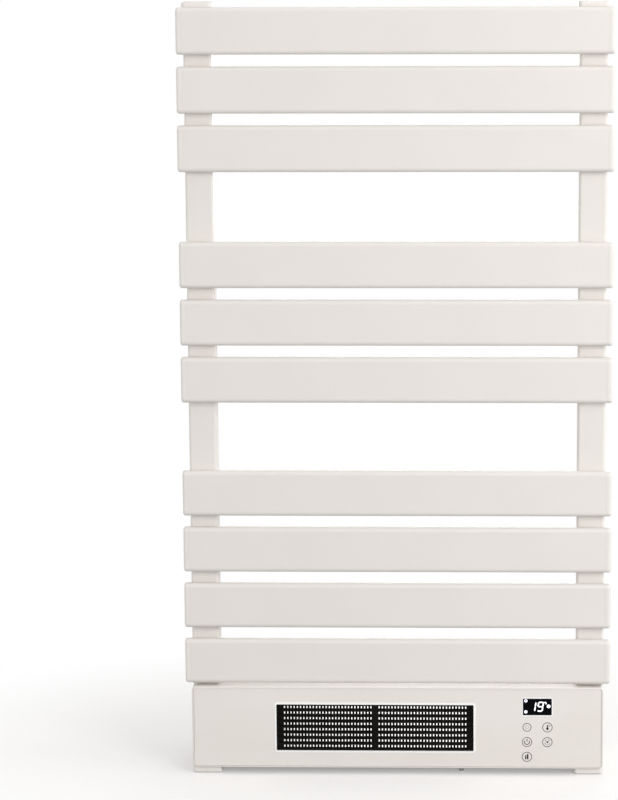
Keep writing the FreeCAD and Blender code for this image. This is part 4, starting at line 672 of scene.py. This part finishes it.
def light_display():
    """The lit temperature, the two lamps beside it and the white rim of the window."""
    low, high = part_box("display_window")
    corner = Vector((low.x, high.z))
    marks = Print("display_digits")

    def spot(across, down):
        return corner + Vector((across, -down)) * MM

    def digit(left, lit):
        for name in lit:
            ends = []
            for across, up in SEGMENT_ENDS[name]:
                rise = up * DIGIT_HEIGHT
                from_left = left + across * DIGIT_WIDTH + rise * DIGIT_LEAN
                ends.append(spot(from_left, DIGIT_TOP + DIGIT_HEIGHT - rise))
            marks.segment(ends[0], ends[1], DIGIT_STROKE * MM)

    digit(TENS_LEFT, LIT_IN_ONE)
    digit(ONES_LEFT, LIT_IN_NINE)
    degree_hole, degree_edge = DEGREE_HOLE_RADIUS * MM, DEGREE_RADIUS * MM
    marks.ring(spot(*DEGREE_SPOT), degree_hole, degree_edge, DEGREE_START, DEGREE_SWEEP, DEGREE_STEPS)
    marks.disc(spot(*DOT_SPOT), DOT_RADIUS * MM)
    white = lit_segment("lit segment white", DIGIT_LIGHT, DIGIT_LIGHT_EDGE)
    marks.press(front_wall(low.y), MARK_THICKNESS, "frame", "display_glass", white)

    lamps = Print("display_lamps")
    upper, lower = (spot(LAMP_ACROSS, down) for down in LAMP_DOWN)
    lamps.ring(upper, LAMP_HOLE_RADIUS * MM, LAMP_RADIUS * MM)
    lamps.disc(lower, LAMP_RADIUS * MM)
    cool = lit_segment("lit lamp cool white", LAMP_LIGHT, LAMP_LIGHT_EDGE)
    lamps.press(front_wall(low.y), MARK_THICKNESS, "frame", "display_glass", cool)

    rim = Print("display_rim")
    rim.rim(Vector((low.x, low.z)), Vector((high.x, high.z)), RIM_RADIUS * MM, RIM_WIDTH * MM)
    panel_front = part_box("front_panel")[0].y
    trim = white_trim("white display rim")
    rim.press(front_wall(panel_front), RIM_THICKNESS, "frame", "panel_plastic", trim)


# Touch keys, in mm, with each symbol's spots from the middle of its key, across and up
PAD_RADIUS = 4.2
KEY_RING_RADIUS = 5.6
SMALL_KEY_RING_RADIUS = 4.8
KEY_LINE = 0.75
INK_THICKNESS = 0.03 * MM
GLOW_RADIUS = 2.0
GLOW_LINE = 0.25
BULB_SPOT = (0.0, -1.7)
BULB_RADIUS = 1.5
TUBE_TIP = (0.0, 2.3)
TUBE_WIDTH = 1.4
BEAD_SPOT = (2.4, 2.0)
BEAD_RADIUS = 0.7
BEAD_LINE = 0.45
POWER_RADIUS = 2.9
POWER_LINE = 0.95
POWER_START = math.radians(145)
POWER_SWEEP = math.radians(250)
POWER_BAR = ((0.0, 1.0), (0.0, 3.4))
DIAL_RADIUS = 3.1
DIAL_LINE = 0.6
DIAL_STARTS = (25, 110, 195, 280)  # degrees
DIAL_SWEEP = math.radians(50)
DIAL_HUB_RADIUS = 1.1
DIAL_HAND_TIP = (1.3, 1.3)
LOW_LEVEL_BAR = ((-1.5, -2.5), (-1.5, 1.3))
LOW_LEVEL_WIDTH = 1.5
HIGH_LEVEL_BAR = ((0.9, -2.3), (0.9, 2.6))
HIGH_LEVEL_WIDTH = 1.9


def print_keys():
    """The five key symbols, each over its touch pad."""
    low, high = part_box("touch_pads")
    left, right = low.x + PAD_RADIUS * MM, high.x - PAD_RADIUS * MM
    bottom, top = low.z + PAD_RADIUS * MM, high.z - PAD_RADIUS * MM
    middle = (bottom + top) / 2
    marks = Print("key_symbols")

    def ring(centre, radius, line=KEY_LINE, start=0.0, sweep=FULL_TURN):
        marks.ring(centre, (radius - line / 2) * MM, (radius + line / 2) * MM, start, sweep)

    def bar(centre, ends, width):
        start, end = (centre + Vector(spot) * MM for spot in ends)
        marks.stroke(start, end, width * MM)

    def hand(centre, hub, radius, tip, width):
        marks.hand(centre + Vector(hub) * MM, radius * MM, centre + Vector(tip) * MM, width * MM)

    def light_key(centre):
        ring(centre, SMALL_KEY_RING_RADIUS)
        ring(centre, GLOW_RADIUS, GLOW_LINE)

    def heat_key(centre):
        ring(centre, KEY_RING_RADIUS)
        hand(centre, BULB_SPOT, BULB_RADIUS, TUBE_TIP, TUBE_WIDTH)
        ring(centre + Vector(BEAD_SPOT) * MM, BEAD_RADIUS, BEAD_LINE)

    def power_key(centre):
        ring(centre, KEY_RING_RADIUS)
        ring(centre, POWER_RADIUS, POWER_LINE, POWER_START, POWER_SWEEP)
        bar(centre, POWER_BAR, POWER_LINE)

    def timer_key(centre):
        ring(centre, KEY_RING_RADIUS)
        for start in DIAL_STARTS:
            ring(centre, DIAL_RADIUS, DIAL_LINE, math.radians(start), DIAL_SWEEP)
        hand(centre, (0.0, 0.0), DIAL_HUB_RADIUS, DIAL_HAND_TIP, DIAL_LINE)

    def level_key(centre):
        ring(centre, KEY_RING_RADIUS)
        bar(centre, LOW_LEVEL_BAR, LOW_LEVEL_WIDTH)
        bar(centre, HIGH_LEVEL_BAR, HIGH_LEVEL_WIDTH)

    light_key(Vector((left, top)))
    heat_key(Vector((right, top)))
    power_key(Vector((left, middle)))
    timer_key(Vector((right, middle)))
    level_key(Vector((left, bottom)))
    ink = printed_ink("grey key ink", KEY_INK, KEY_INK_THIN)
    panel_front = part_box("front_panel")[0].y
    marks.press(front_wall(panel_front), INK_THICKNESS, "frame", "dark_insulator", ink)


# Rocker marks, in mm
ROCKER_MARK_FROM_MIDDLE = 4.0
ROCKER_MARK_RADIUS = 1.7
ROCKER_MARK_LINE = 0.6
WELL_BEHIND = 1000.0  # where the ray that finds each slope starts


def mark_rocker():
    """White on and off marks, one on each slope of the rear rocker."""
    low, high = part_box("rocker_cap")
    cap = frame["nodes"]["rocker_cap"].data
    corners = [corner.co for corner in cap.vertices]
    skin = BVHTree.FromPolygons(corners, [face.vertices for face in cap.polygons])
    ink = printed_ink("white rocker ink", ROCKER_INK, ROCKER_INK_THIN)
    on, off = Print("rocker_on_mark"), Print("rocker_off_mark")
    reach, line = ROCKER_MARK_RADIUS * MM, ROCKER_MARK_LINE * MM
    on.stroke((0, -reach), (0, reach), line)
    off.ring((0, 0), reach - line / 2, reach + line / 2)
    for mark, side in ((on, 1), (off, -1)):
        height = (low.z + high.z) / 2 + side * ROCKER_MARK_FROM_MIDDLE * MM
        behind = Vector(((low.x + high.x) / 2, high.y + WELL_BEHIND * MM, height))
        point, normal, _, _ = skin.ray_cast(behind, Vector((0, -1, 0)))
        mark.press(against(point, normal), INK_THICKNESS, "rocker", "black_plastic", ink)


def softbox(name, spot, aim, width, height, power):
    """A soft rectangular lamp that stands at a spot and faces the aim."""
    lamp = bpy.data.lights.new(name, "AREA")
    lamp.shape = "RECTANGLE"
    lamp.size = width
    lamp.size_y = height
    lamp.energy = power
    holder = bpy.data.objects.new(name, lamp)
    holder.location = spot
    holder.rotation_euler = (Vector(aim) - Vector(spot)).to_track_quat("-Z", "Y").to_euler()
    bpy.context.scene.collection.objects.link(holder)


def seen_directly(board):
    """1 on rays that show a surface as it is: from the camera, in a reflection or through glass."""
    path = "ShaderNodeLightPath"
    direct = board.node(path, output="Is Camera Ray")
    mirrored = board.node(path, output="Is Glossy Ray")
    through = board.node(path, output="Is Transmission Ray")
    return direct.maths("MAXIMUM", direct, mirrored.maths("MAXIMUM", mirrored, through))


def white_studio():
    """A world that looks white and lights the object more softly than that."""
    world = bpy.data.worlds.new("white studio")
    bpy.context.scene.world = world
    world.use_nodes = True
    air = Board(world.node_tree)
    seen = seen_directly(air)
    strength = WORLD_STRENGTH + (1 - WORLD_STRENGTH) * seen
    air.plug(world.node_tree.nodes["Background"], {"Color": WHITE, "Strength": strength})


def lay_floor():
    """A pale floor that shows the shadow near the object and runs out into white."""
    mesh = bpy.data.meshes.new("studio_floor")
    disc = bmesh.new()
    bmesh.ops.create_circle(disc, cap_ends=True, radius=FLOOR_RADIUS, segments=FLOOR_SIDES)
    disc.to_mesh(mesh)
    disc.free()
    floor = bpy.data.objects.new("studio_floor", mesh)
    bpy.context.scene.collection.objects.link(floor)

    paint = Finish("white studio floor")
    seen = seen_directly(paint)
    paint.done(
        Base_Color=paint.blend(FLOOR_BOUNCE, FLOOR_WHITE, seen),
        Emission_Color=paint.blend(UNLIT, FLOOR_LIFT, seen),
        Emission_Strength=1.0,
        Roughness=0.8 + 0.1 * paint.noise(200 * MM, detail=2.0),
        Specular_IOR_Level=0.0,
    )
    centre = tuple(share * spot for share, spot in zip(FADE_STRETCH, FADE_CENTRE))
    ends = {0: paint.place(FADE_STRETCH), 1: centre}
    away = paint.node("ShaderNodeVectorMath", {"operation": "DISTANCE"}, ends, "Value")
    white = paint.node("ShaderNodeEmission", {}, {"Color": WHITE, "Strength": 1.0})
    fade = paint.ramp(away, FADE_START, FADE_END) * seen
    lit = Wire(paint, paint.surface.outputs[0])
    both = paint.node("ShaderNodeMixShader", {}, {"Fac": fade, 1: lit, 2: white})
    paint.plug(paint.tree.nodes["Material Output"], {"Surface": both})
    mesh.materials.append(paint.material)


def place_camera():
    """The photograph's view, its frame cut off-centre from the lens axis."""
    lens = bpy.data.cameras.new("photo_camera")
    lens.sensor_width = SENSOR_MM
    lens.lens = FOCAL_PX * SENSOR_MM / PHOTO_HEIGHT_PX
    lens.shift_x = (PHOTO_WIDTH_PX / 2 - AXIS_PX) / PHOTO_HEIGHT_PX
    lens.clip_end = FARTHEST_SEEN
    camera = bpy.data.objects.new("photo_camera", lens)
    turn = Matrix.Rotation(-CAMERA_YAW, 4, "Z")
    tilt = Matrix.Rotation(math.pi / 2 - CAMERA_PITCH, 4, "X")
    lean = Matrix.Rotation(-CAMERA_ROLL, 4, "Z")
    camera.matrix_world = Matrix.Translation(CAMERA_SPOT) @ turn @ tilt @ lean
    bpy.context.scene.collection.objects.link(camera)
    bpy.context.scene.camera = camera


dress_nodes()
light_display()
print_keys()
mark_rocker()
white_studio()
lay_floor()
for name, setting in SOFTBOXES.items():
    softbox(name, *setting)
place_camera()
bpy.context.scene.view_settings.view_transform = "Standard"
